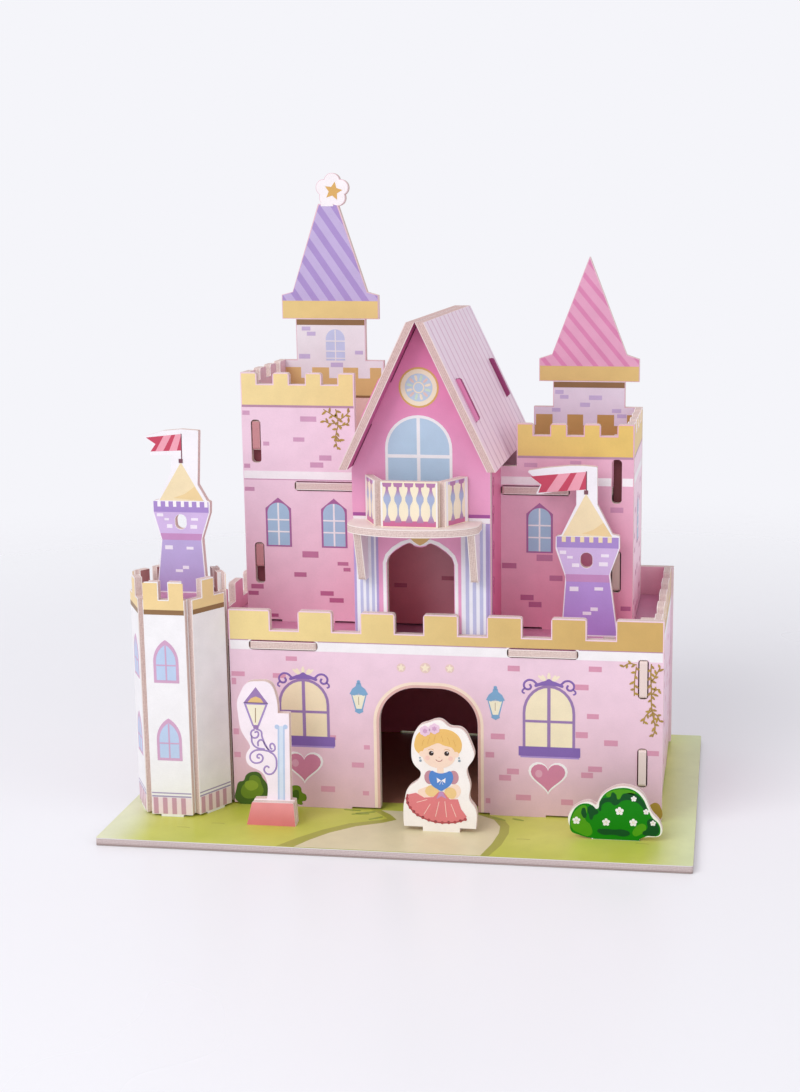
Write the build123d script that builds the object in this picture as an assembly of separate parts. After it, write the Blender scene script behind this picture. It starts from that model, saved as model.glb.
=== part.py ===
from build123d import *
import math
import os

# A slot-together cardboard castle. Millimetres, +Z up, +X to the right of the
# gate, the front faces -Y. The origin is the centre of the base board's underside.

# Board and joints
board = 3.0
fit = 0.25
joint_gap = 0.1
tab_proud = 0.5
tab_rise = 0.2
foot_relief = 0.8
shoulder = 3.0
corner_round = 1.2
tab_round = 1.2
slot_play = 0.5
slot_round = 1.5
fold_web = 0.45
same_place = 0.01
least_flat = 0.05

# Lower storey and the base board's margins round it
lower_width = 182.8
lower_depth = 99.6
margin_left = 28.0
margin_right = 14.2
margin_front = 41.6
margin_rear = 8.8
base_round = 1.0
wall_height = 80.0
wall_end_lap = 1.0
crenel_pitch = 24.8
crenel_gap = 11.2
crenel_drop = 8.0
crenel_start = 30.3
least_merlon = 4.0
side_crenel_gap = 10.0
side_gap_count = 4
gate_inset = 90.2
gate_half_width = 19.5
gate_top = 50.7
gate_arch_rise = 14.5
gate_arch_reach = 15.0
corner_slot_inset = 6.7
deck_drop = 12.5
deck_tab_width = 26.6
deck_tab_inset_left = 35.4
deck_tab_inset_right = 45.4
corner_tab_low = 14.3
corner_tab_high = 49.7
corner_tab_height = 14.8
base_tab_width = 16.0
front_tab_left = 42.1
front_tab_right = 35.1
rear_tab_left = 50.5
rear_tab_right = 55.1
left_tab_front = 57.2
left_tab_back = 19.2
right_tab_front = 18.4
right_tab_back = 23.2

# Corner tower, a strip folded into six facets
hex_out = 6.3
hex_behind = 0.5
hex_inner_side = 16.4
hex_first_turn = 240
hex_height = 94.0
hex_drop = 7.0
hex_gap_narrow = 3.8
hex_merlon = 6.2
hex_floor_drop = 8.0
hex_tab_width = 9.0

# Upper storey, set back from the lower one
upper_inset_left = 12.2
upper_inset_right = 13.0
terrace = 31.4
rear_ledge = 8.2
storey_height = 54.9
left_tower_rise = 44.0
right_tower_rise = 25.2
tower_clear_left = 1.9
tower_clear_right = 3.3
tower_crenel_gap = 6.6
tower_crenel_drop = 4.6
tower_gap_count = 3
upper_tab_width_left = 29.0
upper_tab_width_right = 26.7
upper_tab_gap_left = 0.8
upper_tab_gap_right = 0.4
upper_foot_inset = 25.3
upper_side_foot = 13.0
tower_slot_inset_left = 5.7
slot_low_start = 16.4
slot_low_length = 16.0
slot_left_high_drop = 19.4
slot_left_high_length = 16.4
slot_right_high_drop = 14.3
slot_right_high_length = 16.5
left_tab_low_length = 9.8
left_tab_high_length = 11.9

# Turret silhouettes of the upper rear wall
left_turret_inset = 23.3
left_turret_body = 30.4
left_turret_body_height = 17.6
left_turret_band = 42.2
left_turret_band_height = 10.2
left_turret_cone = 32.6
left_turret_flare = 1.3
left_turret_cone_height = 37.0
left_turret_tip_width = 8.4
knob_rise = 5.6
knob_offset = 2.0
knob_stalk = 4.0
knob_petal_ring = 3.8
knob_petal = 3.4
knob_petals = 5
right_turret_inset = 22.7
right_turret_body = 30.7
right_turret_body_height = 10.8
right_turret_band = 42.6
right_turret_band_height = 9.6
right_turret_cone = 31.8
right_turret_flare = 1.8
right_turret_cone_height = 40.8
right_turret_tip_width = 0.3

# Gable house and roof
gable_offset = 1.1
gable_half_width = 26.8
gable_gap = 0.3
gable_foot = 8.0
roof_slope = 64.4
eave_rise = 11.3
eave_inset = 0.2
eave_gap = 3.2
overhang_front = 8.2
overhang_back = 13.0
roof_tab_start = 25.2
roof_tab_length = 17.6
roof_tab_proud = 1.7
return_tab_length = 10.0
door_offset = 0.6
door_height = 39.8
door_header = 6.2
door_crown_drop = 1.5
door_profile = ((13.1, 8.1), (12.2, 5.5), (9.9, 3.2), (6.8, 1.1), (3.9, 0.0), (2.4, 1.0))

# Balcony
balcony_offset = 1.6
balcony_half_width = 25.2
balcony_straight = 8.4
balcony_bow = 12.2
balcony_tab_width = 10.0
balcony_tab_offset = 13.0
railing_height = 17.3
railing_reach = 15.4
railing_panel = 21.6
railing_side = 14.6
railing_turn = 64.0
bracket_inset_left = 4.4
bracket_inset_right = 2.4
bracket_drop = 20.0
bracket_reach = 12.5
bracket_foot = 5.0
bracket_tab_drop = 5.0
bracket_tab_length = 8.0

# Loose cards: distances from the gate's middle line or the wall's end, and from the wall each stands before
card_round = 0.5
card_lift = 1.8
small_tower_inset = 29.5
small_tower_ahead = 8.6
small_tower_tab = 9.0
spare_slot_offset = 5.7
spare_slot_width = 4.6
spare_slot_depth = 3.6
small_left_offset = 1.8
small_left_behind = 0.1
small_left_tab = 8.2
lamp_clear = 21.36
lamp_ahead = 18.5
lamp_tab_width = 10.0
figure_right = 8.3
figure_ahead = 19.9
figure_tab_width = 14.3
bush_right = 74.8
bush_ahead = 19.9
bush_tab_width = 18.1

# Outlines of the loose cards: across, and up from the face each one stands on
small_tower_outline = (
    (-11.1, 0.0), (-9.5, 23.7), (-13.4, 34.9), (-13.3, 39.9), (-11.1, 40.5), (-5.3, 52.6),
    (-5.3, 58.5), (-8.8, 58.6), (-21.4, 56.2), (-19.0, 61.0), (-24.9, 65.6), (-17.5, 66.9),
    (-8.0, 67.9), (-2.7, 68.0), (2.8, 67.6), (2.9, 52.8), (8.9, 41.1), (11.7, 40.5),
    (11.8, 35.6), (8.0, 25.1), (11.3, 0.0))
small_tower_window = (-1.2, 30.6, 4.8, 6.2)
small_left_outline = (
    (-10.2, 0.0), (-7.6, 21.0), (-10.6, 31.6), (-10.5, 36.2), (-8.0, 36.9), (-2.7, 47.8),
    (-2.4, 54.3), (-10.9, 54.2), (-9.5, 58.4), (-13.0, 61.3), (-5.2, 63.7), (2.0, 64.4),
    (8.9, 64.0), (7.8, 42.9), (11.2, 36.8), (12.4, 36.2), (12.2, 31.8), (8.8, 21.6),
    (9.9, 0.0))
small_left_window = (0.5, 28.2, 4.5, 5.8)
lamp_curve = (
    (-2.6, 9.7), (-2.1, 13.6), (-2.4, 16.6), (-3.5, 19.4), (-5.6, 21.2), (-8.2, 22.3),
    (-10.0, 24.0), (-10.4, 26.4), (-9.5, 28.8), (-8.6, 30.3), (-9.0, 31.8), (-10.4, 34.1),
    (-11.8, 36.6), (-12.6, 40.0), (-13.0, 44.0), (-13.1, 48.5), (-11.6, 52.2), (-9.7, 55.3),
    (-8.1, 56.3), (-4.7, 56.7), (-1.3, 56.6), (0.3, 55.6), (1.8, 52.5), (2.6, 48.6),
    (2.7, 44.3))
lamp_straight = (
    (7.1, 44.3), (6.7, 9.6), (8.4, 9.4), (8.9, 0.0), (-9.5, 0.0), (-7.6, 9.4))
foot_outline = (
    (-10.0, 0.0), (-7.7, 9.2), (8.6, 9.4), (9.2, 0.0))
figure_outline = (
    (-14.4, 1.8), (-14.6, 4.5), (-14.6, 8.0), (-14.4, 10.7), (-13.9, 13.1), (-13.5, 15.1),
    (-12.6, 17.1), (-11.0, 18.6), (-8.9, 20.2), (-7.8, 22.1), (-7.8, 23.9), (-9.4, 25.6),
    (-10.8, 27.9), (-11.2, 30.9), (-11.1, 33.9), (-10.4, 37.7), (-9.1, 40.5), (-7.4, 42.2),
    (-4.7, 43.2), (-2.2, 44.2), (-0.5, 44.4), (1.2, 43.8), (2.6, 42.5), (4.2, 41.7),
    (7.3, 41.5), (9.5, 40.0), (11.2, 36.6), (12.5, 33.2), (12.9, 31.2), (12.2, 28.9),
    (10.7, 26.8), (10.0, 25.1), (10.3, 22.6), (11.1, 20.0), (11.2, 17.4), (10.8, 15.0),
    (11.3, 12.6), (12.8, 10.6), (13.6, 8.4), (13.7, 5.9), (13.4, 1.8))
bush_outline = (
    (-9.1, 1.4), (-11.6, 1.5), (-14.4, 2.1), (-16.5, 3.6), (-17.6, 5.5), (-18.0, 7.8),
    (-17.4, 9.9), (-15.9, 11.9), (-13.6, 13.6), (-11.3, 14.5), (-9.1, 14.3), (-7.4, 13.6),
    (-6.8, 14.5), (-6.1, 16.2), (-4.2, 18.4), (-1.2, 20.3), (2.2, 21.3), (5.5, 21.0),
    (8.9, 19.4), (11.2, 16.6), (12.4, 13.6), (13.6, 11.1), (16.0, 8.4), (17.2, 6.0),
    (17.5, 3.9), (16.6, 2.4), (14.3, 1.8), (11.5, 1.6))

# Places that follow from the sizes
tan_slope = math.tan(math.radians(roof_slope))
roof_across = board / math.sin(math.radians(roof_slope))
base_width = margin_left + lower_width + margin_right
base_depth = margin_front + lower_depth + margin_rear
base_top = board
wall_top = base_top + wall_height
left_wall_x = -base_width / 2 + margin_left
right_wall_x = left_wall_x + lower_width
front_y = -base_depth / 2 + margin_front
back_y = front_y + lower_depth
inner_front = front_y + board
inner_back = back_y - board
castle_x = (left_wall_x + right_wall_x) / 2
gate_x = right_wall_x - gate_inset
front_right_x = right_wall_x + wall_end_lap
rear_left_x = left_wall_x - wall_end_lap
slot_x = right_wall_x - corner_slot_inset
deck_top = wall_top - deck_drop
deck_height = deck_top - board
hex_x = left_wall_x - hex_out
hex_y = front_y + hex_behind
hex_reach = hex_inner_side * math.cos(math.radians(30)) + board
hex_radius = hex_reach / math.cos(math.radians(30))
hex_front_y = hex_y - hex_reach
hex_top = base_top + hex_height
hex_floor_top = hex_top - hex_floor_drop
hex_floor_height = hex_floor_top - board
front_left_x = hex_x + hex_radius + joint_gap
left_front = hex_y + hex_reach + joint_gap
upper_left_x = left_wall_x + upper_inset_left
upper_right_x = right_wall_x - upper_inset_right
upper_front_y = front_y + terrace
upper_back_y = back_y - rear_ledge
inner_upper_front = upper_front_y + board
inner_upper_back = upper_back_y - board
upper_floor_height = deck_top + storey_height
upper_floor_top = upper_floor_height + board
left_tower_top = upper_floor_top + left_tower_rise
right_tower_top = upper_floor_top + right_tower_rise
gable_x = castle_x - gable_offset
gable_front_y = inner_front + gable_gap
eave_height = upper_floor_top + eave_rise
eave_run = gable_half_width - eave_inset
roof_apex = eave_height + eave_run * tan_slope
eave_shelf = eave_height - eave_gap
roof_front = gable_front_y - overhang_front
roof_back = upper_back_y + overhang_back
left_tower_end = gable_x - eave_run - roof_across - tower_clear_left
right_tower_start = gable_x + eave_run + roof_across + tower_clear_right
door_x = gable_x - door_offset
door_top = deck_top + door_height
balcony_x = gable_x - balcony_offset
balcony_top = door_top + door_header + board
railing_front_y = gable_front_y - railing_reach
small_tower_x = right_wall_x - small_tower_inset
small_tower_y = upper_front_y - small_tower_ahead
small_left_x = hex_x + small_left_offset
small_left_y = hex_y - small_left_behind
lamp_x = front_left_x + lamp_clear
lamp_y = front_y - lamp_ahead
foot_y = lamp_y - board
figure_x = gate_x + figure_right
figure_y = front_y - figure_ahead
bush_x = gate_x + bush_right
bush_y = front_y - bush_ahead


def rect(u0, u1, v0, v1):
    """A rectangle between two corners."""
    return Pos((u0 + u1) / 2, (v0 + v1) / 2) * Rectangle(u1 - u0, v1 - v0)


def polygon(points):
    """A face inside a closed run of points."""
    return make_face(Polyline(*points, close=True))


def front_card(face, y0):
    """A card that faces the front, its front face at y0."""
    return extrude(Plane((0, y0 + board, 0), x_dir=(1, 0, 0), z_dir=(0, -1, 0)) * face, board)


def side_card(face, x0):
    """A card that faces sideways, its left face at x0; the face is drawn in Y and Z."""
    return extrude(Plane((x0, 0, 0), x_dir=(0, 1, 0), z_dir=(1, 0, 0)) * face, board)


def flat_card(face, z0):
    """A card lying flat, its underside at z0."""
    return extrude(Plane.XY.offset(z0) * face, board)


def crenels(face, gaps, top, drop):
    """Cuts the gaps between merlons and rounds the merlons' corners."""
    for start, end in gaps:
        face -= rect(start, end, top - drop, top + drop)
    ends = [u for gap in gaps for u in gap]
    corners = [v for v in face.vertices()
               if abs(v.Y - top) < same_place and min(abs(v.X - u) for u in ends) < same_place]
    return fillet(corners, corner_round)


def part_curved(curve, straight=()):
    """A closed outline of one smooth curve, its ends joined by straight lines through further points."""
    rest = (curve[-1],) + straight + (curve[0],)
    edges = [Line(a, b) for a, b in zip(rest, rest[1:])]
    return make_face([Spline(*curve)] + edges)


def wall(u0, u1, z0, z1, tabs):
    """A wall's outline: it stands on the shoulders beside its tabs, which go down a board."""
    face = rect(u0, u1, z0 + foot_relief, z1)
    for centre in tabs:
        half = base_tab_width / 2
        face += rect(max(u0, centre - half - shoulder), min(u1, centre + half + shoulder), z0, z1)
        face += rect(centre - half, centre + half, z0 - board + tab_rise, z0 + foot_relief)
    return face


def tab_slots(tabs, v0, v1):
    """Slots for a row of wall tabs, v0 to v1 across the wall."""
    half = base_tab_width / 2 + fit
    return [rect(c - half, c + half, v0 - joint_gap, v1 + joint_gap) for c in tabs]


def tab_slots_along_y(tabs, x0, x1):
    """Slots for the tabs of a wall that runs front to back."""
    half = base_tab_width / 2 + fit
    return [rect(x0 - joint_gap, x1 + joint_gap, c - half, c + half) for c in tabs]


def rounded_slot(u0, u1, v0, v1):
    """A slot with rounded ends round a tab of the given corners."""
    width = u1 - u0 + 2 * slot_play
    height = v1 - v0 + 2 * slot_play
    return Pos((u0 + u1) / 2, (v0 + v1) / 2) * RectangleRounded(width, height, slot_round)


def even_gaps(u0, u1, count, gap):
    """Evenly spread gaps between count + 1 merlons."""
    merlon = (u1 - u0 - count * gap) / (count + 1)
    return [(u0 + merlon + k * (merlon + gap), u0 + (k + 1) * (merlon + gap)) for k in range(count)]


def folded(points, closed, z0, height):
    """A board folded along open grooves: plates outside a thin web that runs unbroken inside.

    The points run clockwise seen from above, so the outside is on their left."""
    pairs = list(zip(points, points[1:] + points[:1] if closed else points[1:]))
    faces = None
    normals = []
    for (ax, ay), (bx, by) in pairs:
        length = math.hypot(bx - ax, by - ay)
        nx, ny = -(by - ay) / length, (bx - ax) / length
        normals.append((nx, ny))
        outer = [(bx + nx * board, by + ny * board), (ax + nx * board, ay + ny * board)]
        plate = polygon([(ax, ay), (bx, by)] + outer)
        faces = plate if faces is None else faces + plate
    for k in range(len(pairs)):
        if k == 0 and not closed:
            continue
        (px, py), before, after = pairs[k][0], normals[k - 1], normals[k]
        faces += polygon([(px, py), (px + before[0] * fold_web, py + before[1] * fold_web),
                          (px + after[0] * fold_web, py + after[1] * fold_web)])
    return extrude(Plane.XY.offset(z0) * faces, height)


def hex_point(k, radius):
    """A corner of the corner tower; 0 is the front left one, the count runs clockwise from above."""
    angle = math.radians(hex_first_turn - 60 * k)
    return (hex_x + radius * math.cos(angle), hex_y + radius * math.sin(angle))


front_tabs = (gate_x - front_tab_left, gate_x + front_tab_right)
rear_tabs = (left_wall_x + rear_tab_left, right_wall_x - rear_tab_right)
left_wall_tabs = (inner_back - left_tab_front, inner_back - left_tab_back)
right_wall_tabs = (inner_front + right_tab_front, inner_back - right_tab_back)
upper_front_tabs = (upper_left_x + upper_foot_inset, upper_right_x - upper_foot_inset)
upper_rear_tabs = (upper_front_tabs[0], gable_x, upper_front_tabs[1])
upper_side_tabs = (inner_upper_front + upper_side_foot,)
deck_tabs = (left_wall_x + deck_tab_inset_left, right_wall_x - deck_tab_inset_right)
corner_slots = [(base_top + low, base_top + low + corner_tab_height)
                for low in (corner_tab_low, corner_tab_high)]
return_x = (gable_x - gable_half_width, gable_x + gable_half_width - board)
return_middle = (gable_front_y + board + upper_front_y) / 2
return_tab = (return_middle - return_tab_length / 2, return_middle + return_tab_length / 2)
floor_tab_end = return_x[0] - upper_tab_gap_left
floor_tab_start = return_x[1] + board + upper_tab_gap_right
upper_tabs = ((floor_tab_end - upper_tab_width_left, floor_tab_end),
              (floor_tab_start, floor_tab_start + upper_tab_width_right))


def deck_slot(centre):
    """The long slot that a tab of the deck comes through."""
    half = deck_tab_width / 2
    return rounded_slot(centre - half, centre + half, deck_height, deck_top)


def wall_gaps(left):
    """The crenel gaps of a lower wall that starts at left, in step with the front wall's."""
    first = left_wall_x + crenel_start
    while first - crenel_pitch > left + least_merlon:
        first -= crenel_pitch
    count = int((front_right_x - least_merlon - crenel_gap - first) / crenel_pitch) + 1
    return [(first + k * crenel_pitch, first + k * crenel_pitch + crenel_gap) for k in range(count)]


def side_gaps(start):
    """The crenel gaps of a lower side wall behind start."""
    gaps = even_gaps(inner_front, inner_back, side_gap_count, side_crenel_gap)
    return [g for g in gaps if g[0] > start + least_merlon]


# Base board with the slots for everything that stands on it
base_face = rect(-base_width / 2, base_width / 2, -base_depth / 2, base_depth / 2)
base_face = fillet(base_face.vertices(), base_round)
slots = tab_slots(front_tabs, front_y, inner_front)
slots += tab_slots(rear_tabs, inner_back, back_y)
slots += tab_slots_along_y(left_wall_tabs, left_wall_x, left_wall_x + board)
slots += tab_slots_along_y(right_wall_tabs, right_wall_x - board, right_wall_x)
for x, width, y0 in ((lamp_x, lamp_tab_width, lamp_y), (figure_x, figure_tab_width, figure_y),
                     (bush_x, bush_tab_width, bush_y), (hex_x, hex_tab_width, hex_front_y)):
    slots.append(rect(x - width / 2 - fit, x + width / 2 + fit, y0 - joint_gap, y0 + board + joint_gap))
for slot in slots:
    base_face -= slot
base_board = flat_card(base_face, 0)

# Lower front wall with the gate
face = wall(front_left_x, front_right_x, base_top, wall_top, front_tabs)
spring = base_top + gate_top - gate_arch_rise
level = gate_half_width - gate_arch_reach
face -= rect(gate_x - gate_half_width, gate_x + gate_half_width, 0, spring)
face -= rect(gate_x - level, gate_x + level, 0, base_top + gate_top)
for side in (-1, 1):
    face -= Pos(gate_x + side * level, spring) * Ellipse(gate_arch_reach, gate_arch_rise)
face = crenels(face, wall_gaps(front_left_x), wall_top, crenel_drop)
for centre in deck_tabs:
    face -= deck_slot(centre)
for low, high in corner_slots:
    face -= rounded_slot(slot_x - board / 2, slot_x + board / 2, low, high)
front_wall = front_card(face, front_y)

# Lower rear wall, from corner to corner
face = wall(rear_left_x, front_right_x, base_top, wall_top, rear_tabs)
face = crenels(face, wall_gaps(rear_left_x), wall_top, crenel_drop)
for centre in deck_tabs:
    face -= deck_slot(centre)
rear_wall = front_card(face, inner_back)

# Lower side walls; the right one has a flange folded in behind the front wall,
# and the flange's tabs come forward through that wall
face = wall(left_front, inner_back - joint_gap, base_top, wall_top, left_wall_tabs)
face = crenels(face, side_gaps(left_front), wall_top, crenel_drop)
left_wall = side_card(face, left_wall_x)
face = wall(inner_front + joint_gap, inner_back - joint_gap, base_top, wall_top, right_wall_tabs)
face = crenels(face, side_gaps(inner_front), wall_top, crenel_drop)
right_wall = side_card(face, right_wall_x - board)
flange = rect(slot_x - board / 2, right_wall_x - board / 2, base_top + foot_relief, wall_top)
right_wall += front_card(flange, inner_front + joint_gap)
for low, high in corner_slots:
    tongue = rect(front_y - tab_proud, inner_front + board / 2, low, high)
    tongue = fillet(tongue.vertices().sort_by(Axis.X)[:2], tab_round)
    right_wall += side_card(tongue, slot_x - board / 2)


def floor_tabs(face, spans, front, back, inside_front, inside_back):
    """Adds a floor's tabs, which end tab_proud outside the front and back walls."""
    for u0, u1 in spans:
        tongue = rect(u0, u1, front - tab_proud, inside_front + board / 2)
        face += fillet(tongue.vertices().sort_by(Axis.Y)[:2], tab_round)
        tongue = rect(u0, u1, inside_back - board / 2, back + tab_proud)
        face += fillet(tongue.vertices().sort_by(Axis.Y)[-2:], tab_round)
    return face


# Deck, the floor of the upper storey, cut away round the corner tower
gap = 2 * joint_gap
deck_face = rect(left_wall_x + board + gap, right_wall_x - board - gap, inner_front + gap, inner_back - gap)
deck_face -= polygon([hex_point(k, hex_radius + 2 * gap) for k in range(6)])
deck_face -= rect(slot_x - board / 2 - gap, right_wall_x, inner_front, inner_front + board + 2 * gap)
deck_spans = [(centre - deck_tab_width / 2, centre + deck_tab_width / 2) for centre in deck_tabs]
deck_face = floor_tabs(deck_face, deck_spans, front_y, back_y, inner_front, inner_back)
slots = tab_slots(upper_front_tabs, upper_front_y, inner_upper_front)
slots += tab_slots(upper_rear_tabs, inner_upper_back, upper_back_y)
slots += tab_slots_along_y(upper_side_tabs, upper_left_x, upper_left_x + board)
slots += tab_slots_along_y(upper_side_tabs, upper_right_x - board, upper_right_x)
for x0 in return_x:
    slots.append(rect(x0 - joint_gap, x0 + board + joint_gap, return_tab[0] - fit, return_tab[1] + fit))
slots.append(rect(small_tower_x - small_tower_tab / 2 - fit, small_tower_x + small_tower_tab / 2 + fit,
                  small_tower_y - joint_gap, small_tower_y + board + joint_gap))
spare_x = small_tower_x + spare_slot_offset
spare_y = small_tower_y - slot_play
slots.append(rect(spare_x, spare_x + spare_slot_width, spare_y - spare_slot_depth, spare_y))
for slot in slots:
    deck_face -= slot
deck_floor = flat_card(deck_face, deck_height)

# Corner tower: six facets, every second one with two merlons, the others with one
inner_corners = [hex_point(k, hex_inner_side) for k in range(6)]
corner_tower_shell = folded(inner_corners, True, base_top + foot_relief, hex_height - foot_relief)
side_gap = (hex_inner_side - hex_merlon) / 2 + board
for k in range(6):
    ax, ay = hex_point(k, hex_inner_side)
    bx, by = hex_point(k + 1, hex_inner_side)
    turn = Rot(0, 0, math.degrees(math.atan2(by - ay, bx - ax)))
    middle = Pos((ax + bx) / 2, (ay + by) / 2, 0)
    if k % 2:
        cuts = [(0, hex_gap_narrow)]
    else:
        cuts = [(side * (hex_merlon + side_gap) / 2, side_gap) for side in (-1, 1)]
    for offset, width in cuts:
        notch = Pos(offset, board / 2, hex_top) * Box(width, 2 * board, 2 * hex_drop)
        corner_tower_shell -= middle * turn * notch
    foot = Pos(0, board / 2, base_top + foot_relief / 2) * Box(hex_tab_width, board, foot_relief)
    corner_tower_shell += middle * turn * foot
hex_tab = rect(hex_x - hex_tab_width / 2, hex_x + hex_tab_width / 2, tab_rise, base_top + foot_relief)
corner_tower_shell += front_card(hex_tab, hex_front_y)
floor_face = polygon([hex_point(k, hex_inner_side - slot_play) for k in range(6)])
floor_face -= rect(small_left_x - small_left_tab / 2 - fit, small_left_x + small_left_tab / 2 + fit,
                   small_left_y - joint_gap, small_left_y + board + joint_gap)
corner_tower_floor = flat_card(floor_face, hex_floor_height)


def upper_outline(tabs):
    """The outline that both upper walls share: two tower fronts and the low middle between them."""
    outline = wall(upper_left_x, upper_right_x, deck_top, eave_shelf, tabs)
    outline += rect(upper_left_x, left_tower_end, deck_top + shoulder, left_tower_top)
    outline += rect(right_tower_start, upper_right_x, deck_top + shoulder, right_tower_top)
    for u0, u1 in upper_tabs:
        outline -= rounded_slot(u0, u1, upper_floor_height, upper_floor_top)
    return outline


# Upper front wall: two tower fronts joined behind the gable house
left_slot_x = upper_left_x + tower_slot_inset_left
right_slot_x = upper_right_x - corner_slot_inset
slot_low = deck_top + slot_low_start
left_high = left_tower_top - slot_left_high_drop
right_high = right_tower_top - slot_right_high_drop
face = upper_outline(upper_front_tabs)
gaps = even_gaps(upper_left_x, left_tower_end, tower_gap_count, tower_crenel_gap)
face = crenels(face, gaps, left_tower_top, tower_crenel_drop)
gaps = even_gaps(right_tower_start, upper_right_x, tower_gap_count, tower_crenel_gap)
face = crenels(face, gaps, right_tower_top, tower_crenel_drop)
for centre, low, high in ((left_slot_x, slot_low, slot_low + slot_low_length),
                          (left_slot_x, left_high - slot_left_high_length, left_high),
                          (right_slot_x, slot_low, slot_low + slot_low_length),
                          (right_slot_x, right_high - slot_right_high_length, right_high)):
    face -= rounded_slot(centre - board / 2, centre + board / 2, low, high)
upper_front_wall = front_card(face, upper_front_y)

# Upper rear wall with the turret silhouettes and the rear gable
drop = gap / math.cos(math.radians(roof_slope))
gable_peak = roof_apex - drop
gable_shoulder = gable_peak - gable_half_width * tan_slope


def gable_outline():
    """The gable's triangle with the tabs that come up through the roof."""
    left, right, foot = gable_x - gable_half_width, gable_x + gable_half_width, deck_top + foot_relief
    outline = polygon([(left, foot), (right, foot), (right, gable_shoulder), (gable_x, gable_peak),
                       (left, gable_shoulder)])
    thick = board + gap + roof_tab_proud
    for side in (1, -1):
        u0, u1 = sorted((side * roof_tab_start, side * (roof_tab_start + roof_tab_length)))
        tongue = rect(u0, u1, -board / 2, thick)
        tongue = fillet(tongue.vertices().sort_by(Axis.Y)[-2:], tab_round)
        outline += Pos(gable_x, gable_peak) * Rot(0, 0, -side * roof_slope) * tongue
    return outline


def turret(x, foot, body, body_height, band, band_height, cone, flare, cone_height, tip_width):
    """A turret silhouette on a tower top at foot: body, wide band, tapering roof.

    Gives the outline and the height of its tip."""
    body_top = foot + body_height
    band_top = body_top + band_height
    cone_base = band_top + flare
    tip = cone_base + cone_height
    outline = rect(x - body / 2, x + body / 2, foot - board, body_top + board / 2)
    outline += rect(x - band / 2, x + band / 2, body_top, band_top)
    right = [(band / 2, band_top - flare), (band / 2, band_top), (cone / 2, cone_base),
             (tip_width / 2, tip)]
    outline += polygon([(x + u, v) for u, v in right] + [(x - u, v) for u, v in reversed(right)])
    return outline, tip


face = upper_outline(upper_rear_tabs)
face += gable_outline()
left_turret_x = upper_left_x + left_turret_inset
left_turret, left_tip = turret(left_turret_x, left_tower_top, left_turret_body, left_turret_body_height,
                               left_turret_band, left_turret_band_height, left_turret_cone,
                               left_turret_flare, left_turret_cone_height, left_turret_tip_width)
right_turret, right_tip = turret(upper_right_x - right_turret_inset, right_tower_top, right_turret_body,
                                 right_turret_body_height, right_turret_band, right_turret_band_height,
                                 right_turret_cone, right_turret_flare, right_turret_cone_height,
                                 right_turret_tip_width)
face += left_turret
face += right_turret
knob_x = left_turret_x + knob_offset
knob_height = left_tip + knob_rise
face += rect(knob_x - knob_stalk / 2, knob_x + knob_stalk / 2, left_tip - board, knob_height)
face += Pos(knob_x, knob_height) * Circle(knob_petal)
for k in range(knob_petals):
    angle = math.radians(90 + 360 / knob_petals * k)
    petal_x = knob_x + knob_petal_ring * math.cos(angle)
    petal_height = knob_height + knob_petal_ring * math.sin(angle)
    face += Pos(petal_x, petal_height) * Circle(knob_petal)
for u0, u1 in upper_tabs:
    face -= rounded_slot(u0, u1, upper_floor_height, upper_floor_top)
upper_rear_wall = front_card(face, inner_upper_back)


def upper_side(outer_x, inward, top, centre, tongues):
    """An upper side wall with its folded front flange; inward is the way to the castle's middle."""
    front, back = inner_upper_front + joint_gap, inner_upper_back - joint_gap
    outline = wall(front, back, deck_top, top, upper_side_tabs)
    gaps = even_gaps(inner_upper_front, inner_upper_back, tower_gap_count, tower_crenel_gap)
    outline = crenels(outline, gaps, top, tower_crenel_drop)
    solid = side_card(outline, min(outer_x, outer_x + inward * board))
    near, far = sorted((outer_x + inward * board / 2, centre + inward * board / 2))
    solid += front_card(rect(near, far, deck_top + foot_relief, top - tower_crenel_drop), front)
    for low, high in tongues:
        tongue = rect(upper_front_y + fit, inner_upper_front + board / 2, low, high)
        tongue = fillet(tongue.vertices().sort_by(Axis.X)[:2], tab_round)
        solid += side_card(tongue, centre - board / 2)
    return solid


slot_low_end = slot_low + slot_low_length
left_tongues = ((slot_low_end - left_tab_low_length, slot_low_end),
                (left_high - left_tab_high_length, left_high))
upper_left_wall = upper_side(upper_left_x, 1, left_tower_top, left_slot_x, left_tongues)
right_tongues = ((slot_low, slot_low_end),)
upper_right_wall = upper_side(upper_right_x, -1, right_tower_top, right_slot_x, right_tongues)

# Upper floor inside the towers
floor_face = rect(upper_left_x + board + gap, upper_right_x - board - gap,
                  inner_upper_front + gap, inner_upper_back - gap)
flange_back = inner_upper_front + board + 2 * gap
floor_face -= rect(upper_left_x, left_slot_x + board / 2 + gap, inner_upper_front, flange_back)
floor_face -= rect(right_slot_x - board / 2 - gap, upper_right_x, inner_upper_front, flange_back)
floor_face = floor_tabs(floor_face, upper_tabs, upper_front_y, upper_back_y,
                        inner_upper_front, inner_upper_back)
upper_floor = flat_card(floor_face, upper_floor_height)

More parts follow.
